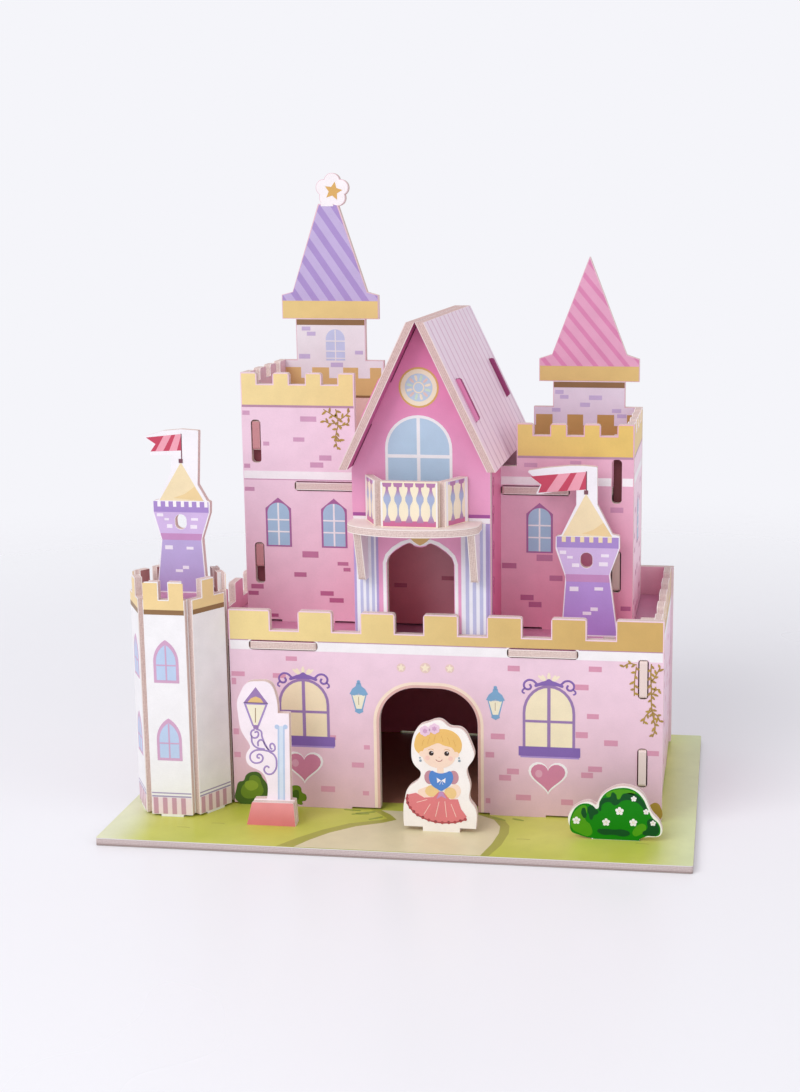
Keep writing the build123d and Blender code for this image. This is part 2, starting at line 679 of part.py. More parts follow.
# Gable house: front with the doorway, and two short returns to the upper front wall
face = gable_outline()
face += rect(return_x[0], return_x[0] + gable_foot, deck_top, deck_top + shoulder)
face += rect(return_x[1] + board - gable_foot, return_x[1] + board, deck_top, deck_top + shoulder)
door_half = door_profile[0][0]
door_right = [(door_x + u, door_top - v) for u, v in door_profile]
door_left = [(door_x - u, door_top - v) for u, v in door_profile]
door_foot = deck_top - board
door_edges = [Line((door_x - door_half, door_foot), (door_x + door_half, door_foot)),
              Line((door_x + door_half, door_foot), door_right[0]),
              Spline(*door_right),
              Spline(door_right[-1], (door_x, door_top - door_crown_drop), door_left[-1]),
              Spline(*reversed(door_left)),
              Line(door_left[0], (door_x - door_half, door_foot))]
face -= make_face(door_edges)
balcony_tabs = (balcony_x - balcony_tab_offset, balcony_x + balcony_tab_offset)
for centre in balcony_tabs:
    half = balcony_tab_width / 2 + fit
    face -= rect(centre - half, centre + half, balcony_top - board - joint_gap, balcony_top + joint_gap)
bracket_high = balcony_top - board - bracket_tab_drop
bracket_low = bracket_high - bracket_tab_length
brackets = (balcony_x - balcony_half_width + bracket_inset_left,
            balcony_x + balcony_half_width - bracket_inset_right)
for centre in brackets:
    half = board / 2 + joint_gap
    face -= rect(centre - half, centre + half, bracket_low - fit, bracket_high + fit)
gable_front = front_card(face, gable_front_y)


def gable_return(x0):
    """A short side wall of the gable house."""
    outline = rect(gable_front_y + board + joint_gap, upper_front_y - joint_gap,
                   deck_top, gable_shoulder - joint_gap)
    outline += rect(return_tab[0], return_tab[1], deck_height + tab_rise, deck_top + shoulder)
    return side_card(outline, x0)


gable_left_return = gable_return(return_x[0])
gable_right_return = gable_return(return_x[1])


def roof_panel(side):
    """One roof panel with level cut edges, slotted for the gable tabs; side is 1 for the right one."""
    x0 = gable_x + side * joint_gap
    points = [(x0, roof_apex), (x0 + side * roof_across, roof_apex),
              (x0 + side * (roof_across + eave_run), eave_height), (x0 + side * eave_run, eave_height)]
    section = polygon(points if side > 0 else points[::-1])
    plane = Plane((0, roof_back, 0), x_dir=(1, 0, 0), z_dir=(0, -1, 0))
    panel = extrude(plane * section, roof_back - roof_front)
    turn = Rot(0, roof_slope, 0) if side > 0 else Rot(0, 180 - roof_slope, 0)
    hole = Box(roof_tab_length + 2 * fit, board + 2 * gap, 6 * board)
    for y0 in (gable_front_y, inner_upper_back):
        place = Pos(gable_x, y0 + board / 2, gable_peak)
        panel -= place * turn * Pos(roof_tab_start + roof_tab_length / 2, 0, 0) * hole
    return panel


roof_left = roof_panel(-1)
roof_right = roof_panel(1)

# Balcony: bowed floor, folded railing, two brackets
bow_y = gable_front_y - balcony_straight
balcony_back = gable_front_y - joint_gap
face = rect(balcony_x - balcony_half_width, balcony_x + balcony_half_width, bow_y, balcony_back)
face += Pos(balcony_x, bow_y) * Ellipse(balcony_half_width, balcony_bow)
beyond = 2 * balcony_half_width
face -= rect(balcony_x - beyond, balcony_x + beyond, balcony_back, balcony_back + balcony_bow)
for centre in balcony_tabs:
    half = balcony_tab_width / 2
    face += rect(centre - half, centre + half, balcony_back - board / 2, gable_front_y + board)
balcony_floor = flat_card(face, balcony_top - board)

rail_half = railing_panel / 2
rail_y = railing_front_y + board
turn = math.radians(railing_turn)
rail_end = rail_half + railing_side * math.cos(turn)
rail_back = rail_y + railing_side * math.sin(turn)
rail_path = [(balcony_x + rail_end, rail_back), (balcony_x + rail_half, rail_y),
             (balcony_x - rail_half, rail_y), (balcony_x - rail_end, rail_back)]
balcony_railing = folded(rail_path, False, balcony_top, railing_height)
before_gable = (Align.CENTER, Align.MAX, Align.CENTER)
keep = Box(4 * railing_panel, 2 * railing_panel, 3 * railing_height, align=before_gable)
balcony_railing &= Pos(balcony_x, balcony_back, balcony_top) * keep


def bracket(centre):
    """A tapering bracket with a rounded foot and one tab into the gable."""
    top = balcony_top - board - joint_gap
    outline = polygon([(balcony_back, top), (balcony_back, top - bracket_drop),
                       (balcony_back - bracket_foot, top - bracket_drop),
                       (balcony_back - bracket_reach, top)])
    foot = outline.vertices().sort_by(Axis.Y)[:2].sort_by(Axis.X)[0]
    outline = fillet(foot, bracket_foot / 2)
    outline += rect(balcony_back - board / 2, gable_front_y + board, bracket_low, bracket_high)
    return side_card(outline, centre - board / 2)


balcony_bracket_left = bracket(brackets[0])
balcony_bracket_right = bracket(brackets[1])


def small_tower(points, window, x, y0, z0, tab_width):
    """A small tower card with a window and a tab below."""
    outline = polygon([(x + u, z0 + v) for u, v in points])
    outline = fillet([v for v in outline.vertices() if v.Y > z0 + card_round], card_round)
    u, v, width, height = window
    outline -= Pos(x + u, z0 + v) * RectangleRounded(width, height, width / 2 - least_flat)
    outline += rect(x - tab_width / 2, x + tab_width / 2, z0 - board + tab_rise, z0 + board / 2)
    return front_card(outline, y0)


def base_card(outline, x, y0, tab_width):
    """A card on the base board with one tab through it."""
    outline = Pos(x, base_top) * outline
    outline += rect(x - tab_width / 2, x + tab_width / 2, tab_rise, base_top + card_lift + board / 2)
    return front_card(outline, y0)


# Loose cards
small_tower_right = small_tower(small_tower_outline, small_tower_window, small_tower_x, small_tower_y,
                                deck_top, small_tower_tab)
small_tower_left = small_tower(small_left_outline, small_left_window, small_left_x, small_left_y,
                               hex_floor_top, small_left_tab)
lamp_post = base_card(part_curved(lamp_curve, lamp_straight), lamp_x, lamp_y, lamp_tab_width)
foot_face = Pos(lamp_x, base_top) * polygon(foot_outline)
foot_face = fillet([v for v in foot_face.vertices() if v.Y > base_top + card_round], card_round)
lamp_foot = front_card(foot_face, foot_y)
doll_figure = base_card(part_curved(figure_outline), figure_x, figure_y, figure_tab_width)
bush = base_card(part_curved(bush_outline), bush_x, bush_y, bush_tab_width)

parts = {
    "base_board": base_board,
    "front_wall": front_wall,
    "rear_wall": rear_wall,
    "left_wall": left_wall,
    "right_wall": right_wall,
    "deck_floor": deck_floor,
    "corner_tower_shell": corner_tower_shell,
    "corner_tower_floor": corner_tower_floor,
    "upper_front_wall": upper_front_wall,
    "upper_rear_wall": upper_rear_wall,
    "upper_left_wall": upper_left_wall,
    "upper_right_wall": upper_right_wall,
    "upper_floor": upper_floor,
    "gable_front": gable_front,
    "gable_left_return": gable_left_return,
    "gable_right_return": gable_right_return,
    "roof_left": roof_left,
    "roof_right": roof_right,
    "balcony_floor": balcony_floor,
    "balcony_railing": balcony_railing,
    "balcony_bracket_left": balcony_bracket_left,
    "balcony_bracket_right": balcony_bracket_right,
    "small_tower_left": small_tower_left,
    "small_tower_right": small_tower_right,
    "lamp_post": lamp_post,
    "lamp_foot": lamp_foot,
    "doll_figure": doll_figure,
    "bush": bush,
}

os.makedirs("parts", exist_ok=True)
for name, solid in parts.items():
    export_step(solid, f"parts/{name}.step")
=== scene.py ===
import math
import random
import bpy
from mathutils import Matrix, Vector


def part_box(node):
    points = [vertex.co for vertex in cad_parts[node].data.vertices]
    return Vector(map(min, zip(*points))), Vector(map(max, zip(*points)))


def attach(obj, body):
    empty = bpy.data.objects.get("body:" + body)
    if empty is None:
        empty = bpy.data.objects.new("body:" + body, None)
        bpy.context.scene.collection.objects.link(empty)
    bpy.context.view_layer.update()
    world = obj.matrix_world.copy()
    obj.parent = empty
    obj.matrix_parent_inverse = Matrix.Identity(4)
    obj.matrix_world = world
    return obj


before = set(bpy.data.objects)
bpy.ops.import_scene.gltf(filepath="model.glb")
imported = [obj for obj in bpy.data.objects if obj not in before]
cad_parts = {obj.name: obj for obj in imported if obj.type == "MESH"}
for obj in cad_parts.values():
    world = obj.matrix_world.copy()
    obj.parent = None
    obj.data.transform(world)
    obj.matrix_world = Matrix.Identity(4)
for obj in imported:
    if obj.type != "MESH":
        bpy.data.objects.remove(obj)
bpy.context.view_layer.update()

MM = 0.001
BOARD = 3.0
FRONT, REAR, LEFT, RIGHT, UP = (0, -1, 0), (0, 1, 0), (-1, 0, 0), (1, 0, 0), (0, 0, 1)


def linear(shade):
    """The linear colour of an sRGB hex value."""
    parts = [int(shade[k:k + 2], 16) / 255 for k in (1, 3, 5)]
    return [c / 12.92 if c <= 0.04045 else ((c + 0.055) / 1.055) ** 2.4 for c in parts] + [1.0]


def node(tree, kind, inputs=None, **settings):
    """Adds one node with its settings; an input gets a value, a hex colour or the socket that feeds it."""
    made = tree.nodes.new("ShaderNode" + kind)
    for name, value in settings.items():
        setattr(made, name, value)
    for name, value in (inputs or {}).items():
        if isinstance(value, bpy.types.NodeSocket):
            tree.links.new(value, made.inputs[name])
        else:
            made.inputs[name].default_value = linear(value) if isinstance(value, str) else value
    return made


def calc(tree, operation, *values):
    """A sum, product, comparison or the like of up to three numbers."""
    return node(tree, "Math", dict(enumerate(values)), operation=operation).outputs[0]


def vector_calc(tree, operation, *values):
    """The same for vectors; a dot product and a length give a number."""
    made = node(tree, "VectorMath", dict(enumerate(values)), operation=operation)
    return made.outputs["Value" if operation in ("DOT_PRODUCT", "LENGTH") else 0]


def remap(tree, value, start, end, low=0.0, high=1.0, shape="LINEAR"):
    """Brings start to end onto low to high, and holds the value beyond."""
    spans = dict(enumerate((value, start, end, low, high)))
    return node(tree, "MapRange", spans, interpolation_type=shape).outputs[0]


def mix(tree, share, first, second, blend="MIX"):
    """A colour between two."""
    return node(tree, "Mix", {0: share, 6: first, 7: second}, data_type="RGBA", blend_type=blend).outputs[2]


def part_of(tree, coords, axis, source="Object"):
    """The place's part along one axis, or the normal's."""
    return node(tree, "SeparateXYZ", {0: coords.outputs[source]}).outputs[axis]


def noise(tree, coords, scale, detail):
    """Cloudy noise, the larger the scale the finer."""
    inputs = {"Vector": coords.outputs["Object"], "Scale": scale, "Detail": detail}
    return node(tree, "TexNoise", inputs).outputs[0]


def empty_material(name):
    """A new material, its node tree and its coordinates."""
    made = bpy.data.materials.new(name)
    made.use_nodes = True
    made.node_tree.nodes.clear()
    return made, made.node_tree, node(made.node_tree, "TexCoord")


def drawn(ink, tree, coords):
    """An ink's colour: a hex value as it is, or what its function draws."""
    return ink if isinstance(ink, str) else ink(tree, coords)


def mm_box(name):
    """A CAD node's lowest and highest corner in millimetres."""
    low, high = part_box(name)
    return Vector(low) / MM, Vector(high) / MM


# The photograph's viewpoint, solved from the castle's corners: place in metres, turns in degrees
SENSOR_WIDTH, FOCAL_LENGTH = 36.0, 73.44
LENS_SHIFT = (-0.1577, -0.0277)
CAMERA_PLACE = (0.12179, -0.63368, 0.23642)
CAMERA_PITCH, CAMERA_ROLL, CAMERA_YAW = 10.933, 0.069, 7.121

# The studio: a white tent, one large soft lamp from the upper left, a weak one from the right
TENT_LIGHT = 0.65
SOFTBOXES = (
    ("key_softbox", (-0.75, -1.05, 1.15), 1.1, 13.5),
    ("fill_softbox", (1.2, -0.5, 0.55), 0.9, 2.5))
LAMPS_AIM = Vector((0.0, 0.0, 0.08))
FLOOR_RADIUS = 2.0
FLOOR_DROP = 0.00005
FLOOR_FADE = (0.2, 0.75)


def photo_camera():
    """The camera, at roof height and a little to the right of the castle's middle."""
    lens = bpy.data.cameras.new("photo_camera")
    lens.sensor_fit = "HORIZONTAL"
    lens.sensor_width = SENSOR_WIDTH
    lens.lens = FOCAL_LENGTH
    lens.shift_x, lens.shift_y = LENS_SHIFT
    lens.clip_start = 0.01
    camera = bpy.data.objects.new("photo_camera", lens)
    camera.location = CAMERA_PLACE
    turns = (90 - CAMERA_PITCH, CAMERA_ROLL, CAMERA_YAW)
    camera.rotation_euler = [math.radians(turn) for turn in turns]
    bpy.context.scene.collection.objects.link(camera)
    bpy.context.scene.camera = camera


def studio_lights():
    """The tent's light on the castle, a pale grey sweep behind it, and the two lamps."""
    world = bpy.data.worlds.new("studio_tent")
    bpy.context.scene.world = world
    world.use_nodes = True
    tree = world.node_tree
    tree.nodes.clear()
    path = node(tree, "LightPath")
    seen = calc(tree, "MAXIMUM", path.outputs["Is Camera Ray"], path.outputs["Is Glossy Ray"])
    seen = calc(tree, "MAXIMUM", seen, path.outputs["Is Transmission Ray"])
    tent = node(tree, "Background", {"Color": "#FCFBFF", "Strength": TENT_LIGHT})
    sweep = node(tree, "Background", {"Color": "#F5F5FA", "Strength": 1.0})
    both = node(tree, "MixShader", {0: seen, 1: tent.outputs[0], 2: sweep.outputs[0]})
    node(tree, "OutputWorld", {"Surface": both.outputs[0]})
    for name, place, size, power in SOFTBOXES:
        data = bpy.data.lights.new(name, "AREA")
        data.shape = "SQUARE"
        data.size = size
        data.energy = power
        lamp = bpy.data.objects.new(name, data)
        lamp.location = place
        lamp.rotation_euler = (LAMPS_AIM - lamp.location).to_track_quat("-Z", "Y").to_euler()
        bpy.context.scene.collection.objects.link(lamp)


def studio_floor():
    """A pale floor that keeps the castle's shadow and dissolves into the background further out."""
    bpy.ops.object.select_all(action="DESELECT")
    below = (0, 0, -FLOOR_DROP)
    bpy.ops.mesh.primitive_circle_add(vertices=64, radius=FLOOR_RADIUS, fill_type="NGON", location=below)
    floor = bpy.context.object
    floor.name = "studio_floor"
    made, tree, coords = empty_material("matte_acrylic_sweep")
    reach = vector_calc(tree, "LENGTH", coords.outputs["Object"])
    fade = remap(tree, reach, *FLOOR_FADE, shape="SMOOTHSTEP")
    tone = remap(tree, noise(tree, coords, 6.0, 2.0), 0.3, 0.7, 0.27, 0.3)
    white = node(tree, "BsdfPrincipled", {"Base Color": "#F6F6FA", "Roughness": tone, "IOR": 1.3})
    clear = node(tree, "BsdfTransparent")
    both = node(tree, "MixShader", {0: fade, 1: white.outputs[0], 2: clear.outputs[0]})
    node(tree, "OutputMaterial", {"Surface": both.outputs[0]})
    floor.data.materials.append(made)


# Printed greyboard. Its parts: an inked, dispersion-coated paper face (satin, a faint fibre), a grey
# core of pressed waste paper that shows at every cut edge, and a white liner sheet at each side of it.
FACE_LIMIT = 0.7
LINER = 0.28
PLY = 0.62
INK_CLOUD = 7.0
PAPER_FIBRE = 0.45
CORE_FIBRE = 0.5
CLOUD_TONE, FIBRE_TONE = (0.965, 1.025), (0.97, 1.02)
PLY_WANDER, WANDER_SIZE, PLY_CONTRAST = 0.35, 6.0, 0.16
CORE_DARK, CORE_PALE, LINER_PAPER = "#CFB6B0", "#EAD6CF", "#F6EDE8"
BOARD_GLOSS = 0.42
EDGE_GLOSS = 0.9
FACE_RELIEF, EDGE_RELIEF = 0.012, 0.1
RELIEF_STRENGTH = 0.6
BOARD_IOR = 1.48


def ink_on_paper(tree, coords, colour):
    """Uneven ink over centimetres and the paper's fibre over tenths of a millimetre: colour and relief."""
    cloud = noise(tree, coords, 1 / (INK_CLOUD * MM), 2.0)
    fibre = noise(tree, coords, 1 / (PAPER_FIBRE * MM), 3.0)
    wide = remap(tree, cloud, 0.3, 0.7, *CLOUD_TONE)
    fine = remap(tree, fibre, 0.25, 0.75, *FIBRE_TONE)
    return mix(tree, 1.0, colour, calc(tree, "MULTIPLY", wide, fine), "MULTIPLY"), fibre


def fade_between(tree, coords, low, high, start, end, axis=2):
    """A printed gradient from low to high between two places in millimetres."""
    grade = remap(tree, part_of(tree, coords, axis), start * MM, end * MM, shape="SMOOTHSTEP")
    return mix(tree, grade, low, high)


def greyboard_edge(tree, coords, depth):
    """The cut edge: pressed grey fibres in flat streaks, and the paler liner sheets near both faces."""
    fibres = noise(tree, coords, 1 / (CORE_FIBRE * MM), 4.0)
    drift = noise(tree, coords, 1 / (WANDER_SIZE * MM), 1.0)
    wander = calc(tree, "MULTIPLY_ADD", drift, PLY_WANDER * MM, depth)
    wave = calc(tree, "SINE", calc(tree, "MULTIPLY", wander, 2 * math.pi / (PLY * MM)))
    streak = calc(tree, "MULTIPLY_ADD", wave, PLY_CONTRAST, fibres)
    core = mix(tree, remap(tree, streak, 0.25, 0.75), CORE_DARK, CORE_PALE)
    liner = calc(tree, "COMPARE", depth, (BOARD - LINER) / 2 * MM, (LINER / 2 + 0.02) * MM)
    return mix(tree, liner, core, LINER_PAPER), fibres


def flat_side(outward, middle):
    """How a flat card's faces and edges are told apart: by its outward direction and its middle plane."""
    def sockets(tree, coords):
        facing = vector_calc(tree, "DOT_PRODUCT", coords.outputs["Normal"], outward)
        across = vector_calc(tree, "DOT_PRODUCT", coords.outputs["Object"], outward)
        return facing, calc(tree, "ABSOLUTE", calc(tree, "SUBTRACT", across, middle * MM))
    return sockets


def facets_side(centre, apothem):
    """The same for a strip folded into six facets round an upright axis."""
    def sockets(tree, coords):
        place = vector_calc(tree, "SUBTRACT", coords.outputs["Object"], Vector(centre) * MM)
        flat = vector_calc(tree, "MULTIPLY", place, (1, 1, 0))
        radial = vector_calc(tree, "NORMALIZE", flat)
        facing = vector_calc(tree, "DOT_PRODUCT", coords.outputs["Normal"], radial)
        reaches = []
        for turn in (30, 90, 150):
            way = (math.cos(math.radians(turn)), math.sin(math.radians(turn)), 0)
            reaches.append(calc(tree, "ABSOLUTE", vector_calc(tree, "DOT_PRODUCT", flat, way)))
        reach = calc(tree, "MAXIMUM", calc(tree, "MAXIMUM", reaches[0], reaches[1]), reaches[2])
        return facing, calc(tree, "ABSOLUTE", calc(tree, "SUBTRACT", reach, apothem * MM))
    return sockets


def printed_board(name, side, outer, inner, roughness=BOARD_GLOSS, stain=None):
    """Offset-printed greyboard: satin ink on the faces, a matt fibrous core at the cut edges, which some
    cards tint and some darken with painted shade.
    """
    made, tree, coords = empty_material("offset_printed_greyboard_" + name)
    facing, depth = side(tree, coords)
    is_outer = calc(tree, "GREATER_THAN", facing, FACE_LIMIT)
    is_inner = calc(tree, "LESS_THAN", facing, -FACE_LIMIT)
    faces = mix(tree, is_inner, drawn(outer, tree, coords), drawn(inner, tree, coords))
    inked, paper = ink_on_paper(tree, coords, faces)
    edge, fibres = greyboard_edge(tree, coords, depth)
    if stain:
        edge = stain(tree, coords, edge)
    is_face = calc(tree, "ADD", is_outer, is_inner)
    relief = node(tree, "Mix", {0: is_face, 2: fibres, 3: paper}).outputs[0]
    swell = remap(tree, is_face, 0.0, 1.0, EDGE_RELIEF * MM, FACE_RELIEF * MM)
    bump = node(tree, "Bump", {"Height": relief, "Distance": swell, "Strength": RELIEF_STRENGTH}).outputs[0]
    shader = node(tree, "BsdfPrincipled", {
        "Base Color": mix(tree, is_face, edge, inked), "Normal": bump, "IOR": BOARD_IOR,
        "Roughness": remap(tree, is_face, 0.0, 1.0, EDGE_GLOSS, roughness)})
    node(tree, "OutputMaterial", {"Surface": shader.outputs[0]})
    return made


def graded(low, high, start, end):
    """An ink that fades from low to high between two heights."""
    return lambda tree, coords: fade_between(tree, coords, low, high, start, end)


def across_fade(left, right, start, end):
    """An ink that fades from the left to the right of the castle."""
    return lambda tree, coords: fade_between(tree, coords, left, right, start, end, 0)


def left_and_right(left, right, start, end):
    """One ink at the castle's left and another at its right."""
    def colour(tree, coords):
        grade = remap(tree, part_of(tree, coords, 0), start * MM, end * MM)
        return mix(tree, grade, drawn(left, tree, coords), drawn(right, tree, coords))
    return colour


def tongue_stain(end, top, near, slot_shade):
    """Front-facing cut edges up to a height in their own colours: near at the tongues' ends, and deep
    behind them, a painted shade in the slots.
    """
    def colour(tree, coords, edge):
        front = calc(tree, "LESS_THAN", part_of(tree, coords, 1, "Normal"), -FACE_LIMIT)
        shade_in_slot = calc(tree, "GREATER_THAN", part_of(tree, coords, 1), (end + 1.0) * MM)
        below = calc(tree, "LESS_THAN", part_of(tree, coords, 2), top * MM)
        return mix(tree, calc(tree, "MULTIPLY", front, below), edge, mix(tree, shade_in_slot, near, slot_shade))
    return colour


def roof_tab_stain(centre, reach, low, shade):
    """The tabs that stand through the roof, inked on their ends too."""
    def colour(tree, coords, edge):
        over = calc(tree, "GREATER_THAN", part_of(tree, coords, 2), low * MM)
        within = calc(tree, "COMPARE", part_of(tree, coords, 0), centre * MM, reach * MM)
        return mix(tree, calc(tree, "MULTIPLY", over, within), edge, shade)
    return colour


def greyed(low, high, start, end):
    """A greyer board's cut edge: the usual core multiplied by a tint that fades from low at its foot to
    high above; a darker low is a painted shadow at the foot.
    """
    def colour(tree, coords, edge):
        return mix(tree, 1.0, edge, fade_between(tree, coords, low, high, start, end), "MULTIPLY")
    return colour


def dress(name, *look, **finish):
    """Gives a CAD node's object its printed board."""
    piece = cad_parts[name]
    made = printed_board(name, *look, **finish)
    if not piece.data.materials:
        piece.data.materials.append(made)
    for slot in piece.material_slots:
        slot.material = made


def cut_card(name, outward, outer, inner, **finish):
    """Dresses a flat card, whose middle plane lies half a board behind its outward face."""
    low, high = mm_box(name)
    face = Vector([low[k] if outward[k] < 0 else high[k] for k in range(3)])
    dress(name, flat_side(Vector(outward), face.dot(Vector(outward)) - BOARD / 2), outer, inner, **finish)


# The castle's cards, each with its outer and inner ink
ROOF_SLOPE = 64.4
ROOF_SEAM = 9.0
HEX_CENTRE = (-90.8, -32.9, 0)
HEX_SIDE = 16.4
HEX_APOTHEM = HEX_SIDE * math.cos(math.radians(30))
RAIL_TURN = 64.0
RAIL_PANEL = 21.6
LAWN_GLOSS = 0.36
PLAIN_CARDS = (
    ("deck_floor", UP, "#D08CAC", "#C77F9F"), ("corner_tower_floor", UP, "#D08CAC", "#B4808F"),
    ("upper_floor", UP, "#DDA3C0", "#C77F9F"), ("balcony_floor", UP, "#F0E2DA", "#E2D0CE"),
    ("balcony_bracket_left", RIGHT, "#E9D7E2", "#E9D7E2"),
    ("balcony_bracket_right", RIGHT, "#E9D7E2", "#E9D7E2"),
    ("small_tower_left", FRONT, "#F6F2F7", "#EFE6EE"), ("small_tower_right", FRONT, "#F6F2F7", "#EFE6EE"),
    ("lamp_post", FRONT, "#F9ECF4", "#F1E6F2"), ("doll_figure", FRONT, "#F9F3EE", "#F9F3EE"),
    ("bush", FRONT, "#F6F4EF", "#2F7A23"))


def grass(tree, coords):
    """The printed lawn: yellow green with soft wide patches, paler towards both side edges."""
    lawn = mix(tree, remap(tree, noise(tree, coords, 22.0, 2.0), 0.35, 0.65), "#BDC446", "#D2D466")
    right = remap(tree, part_of(tree, coords, 0), 92 * MM, 112 * MM, shape="SMOOTHSTEP")
    left = remap(tree, part_of(tree, coords, 0), -92 * MM, -110 * MM, shape="SMOOTHSTEP")
    return mix(tree, left, mix(tree, right, lawn, "#D4DDA6"), "#E2E4BE")


def roof_seams(tree, coords):
    """The printed roof sheet: pale pink with a fine dusty line every few millimetres down the slope,
    lighter towards the eaves as painted light that offsets the shade there.
    """
    part = calc(tree, "FRACT", calc(tree, "DIVIDE", part_of(tree, coords, 1), ROOF_SEAM * MM))
    near = calc(tree, "ABSOLUTE", calc(tree, "SUBTRACT", part, 0.5))
    line = remap(tree, near, 0.07, 0.12, 1.0, 0.0)
    return mix(tree, line, fade_between(tree, coords, "#FBDCED", "#F1DBEB", 140, 195), "#DBB2CC")


def roofs():
    """The two roof panels: printed seams outside, magenta underneath."""
    slope = math.radians(ROOF_SLOPE)
    for name, side in (("roof_left", -1), ("roof_right", 1)):
        outward = Vector((side * math.sin(slope), 0, math.cos(slope)))
        low, high = mm_box(name)
        inner_ridge = Vector((low.x if side > 0 else high.x, 0, high.z))
        ridge = inner_ridge + Vector((side * BOARD / math.sin(slope), 0, 0))
        dress(name, flat_side(outward, ridge.dot(outward) - BOARD / 2), roof_seams, "#C25C92",
              stain=greyed("#F2E6E8", "#F2E6E8", 0, 1))


def railing_side(tree, coords):
    """Faces and edges of the balcony railing, a strip folded into three panels."""
    low, high = mm_box("balcony_railing")
    centre, turn = (low.x + high.x) / 2, math.radians(RAIL_TURN)
    off = calc(tree, "SUBTRACT", part_of(tree, coords, 0), centre * MM)
    way = calc(tree, "SIGN", off)
    on_side = calc(tree, "GREATER_THAN", calc(tree, "ABSOLUTE", off), (RAIL_PANEL / 2 + 0.01) * MM)
    sideways = calc(tree, "MULTIPLY", way, math.sin(turn))
    side_out = node(tree, "CombineXYZ", {0: sideways, 1: -math.cos(turn)})
    out = node(tree, "Mix", {0: on_side, 4: FRONT, 5: side_out.outputs[0]}, data_type="VECTOR").outputs[1]
    fold = calc(tree, "MULTIPLY_ADD", way, RAIL_PANEL / 2 * MM, centre * MM)
    corner = node(tree, "CombineXYZ", {0: fold, 1: (low.y + BOARD) * MM})
    from_fold = vector_calc(tree, "SUBTRACT", coords.outputs["Object"], corner.outputs[0])
    centred = calc(tree, "SUBTRACT", vector_calc(tree, "DOT_PRODUCT", from_fold, out), BOARD / 2 * MM)
    return vector_calc(tree, "DOT_PRODUCT", coords.outputs["Normal"], out), calc(tree, "ABSOLUTE", centred)


def castle_cards():
    """Every CAD node's board and its main inks."""
    lined = graded("#DA6E84", "#F6C2D2", 66, 69)
    blush = graded("#E7C0CF", "#F1D1E2", 3, 70)
    tower = graded("#F6C6DA", "#F2D2E3", 70, 150)
    # The right tower's front: a deeper pink than the left's, partly its own print and partly painted shade
    # where the roof shades it.
    deeper_pink_and_painted_shade = graded("#F2A2BD", "#E8B2C9", 75, 145)
    gable_side = graded("#D4658F", "#E27CA8", 70, 139)
    tab_ink = roof_tab_stain(5.8, 30.0, 139.0, "#9C3A70")
    corner = mm_box("right_wall")[1].x

    def attic(tree, coords):
        return tab_ink(tree, coords, "#EAC3CF")

    # The base board's cut edge: greyer all over, and darker over its lowest millimetre, a painted shadow
    # under the board.
    foot = greyed("#A8A2A2", "#E6EBF0", 0.1, 1.4)
    cut_card("base_board", UP, grass, "#CFC8BD", roughness=LAWN_GLOSS, stain=foot)
    cut_card("front_wall", FRONT, blush, lined)
    cut_card("rear_wall", REAR, blush, left_and_right(lined, "#F0DAE3", corner - 0.02, corner + 0.02))
    cut_card("left_wall", LEFT, blush, lined)
    # The right wall's front-facing cut edges: pale at its tongues' ends, dark behind them as painted shade
    # in the slots.
    cut_card("right_wall", RIGHT, blush, lined, stain=tongue_stain(-33.9, 70.0, "#EAD6D0", "#93525C"))
    dress("corner_tower_shell", facets_side(HEX_CENTRE, HEX_APOTHEM + BOARD / 2), "#F4F2F4", "#B58480")
    cut_card("upper_front_wall", FRONT, left_and_right(tower, deeper_pink_and_painted_shade, 20.0, 48.0), "#C4778F")
    cut_card("upper_rear_wall", REAR, tower, attic, stain=tab_ink)
    # The towers' side walls: their tongues' ends in dusty rose and pale pink, the slots behind them dark as
    # painted shade.
    left_stain = tongue_stain(-2.0, 157.0, "#C88C90", "#8A4A55")
    right_stain = tongue_stain(-2.0, 140.0, "#E0C8BC", "#6E3A40")
    cut_card("upper_left_wall", LEFT, tower, "#EBC8D2", stain=left_stain)
    cut_card("upper_right_wall", RIGHT, tower, "#D9AFBF", stain=right_stain)
    # The gable's front fades to a deeper magenta towards its top: painted shade under the roof.
    cut_card("gable_front", FRONT, graded("#E99FC6", "#EA86B6", 132, 186), "#B5577F", stain=tab_ink)
    roofs()
    dress("balcony_railing", railing_side, "#F8EBCF", "#F0DCD2")
    cut_card("lamp_foot", FRONT, graded("#DF7A84", "#EE969E", 3, 12), "#F1E6F2")
    for name, side in (("gable_left_return", LEFT), ("gable_right_return", RIGHT)):
        cut_card(name, side, gable_side, "#B5577F")
    for name, outward, outer, inner in PLAIN_CARDS:
        cut_card(name, outward, outer, inner)


# Printed shapes: each is a film of offset ink on the board's face, a few hundredths of a millimetre
# thick, so that it rides on its card. Layer 1 lies on the board, each further one on top of it.
FILM = 0.03
INK_GLOSS = 0.4
INK_IOR = 1.48
DEEP_INK_IOR = 1.3


def slanting(light, dark, pitch, share, lean):
    """Slanting stripes that run down to the right, dark over a share of each pitch in millimetres."""
    def colour(tree, coords):
        leaning = calc(tree, "MULTIPLY_ADD", part_of(tree, coords, 0), lean, part_of(tree, coords, 2))
        part = calc(tree, "FRACT", calc(tree, "DIVIDE", leaning, pitch * MM))
        return mix(tree, calc(tree, "LESS_THAN", part, share), light, dark)
    return colour


def vase_tint(tree, coords):
    """The balusters' gaps: mauve at the foot and the head, grey blue between."""
    lower = fade_between(tree, coords, "#B684AC", "#A9B4D4", 121, 126)
    return fade_between(tree, coords, lower, "#B57BA8", 130.5, 134.5)


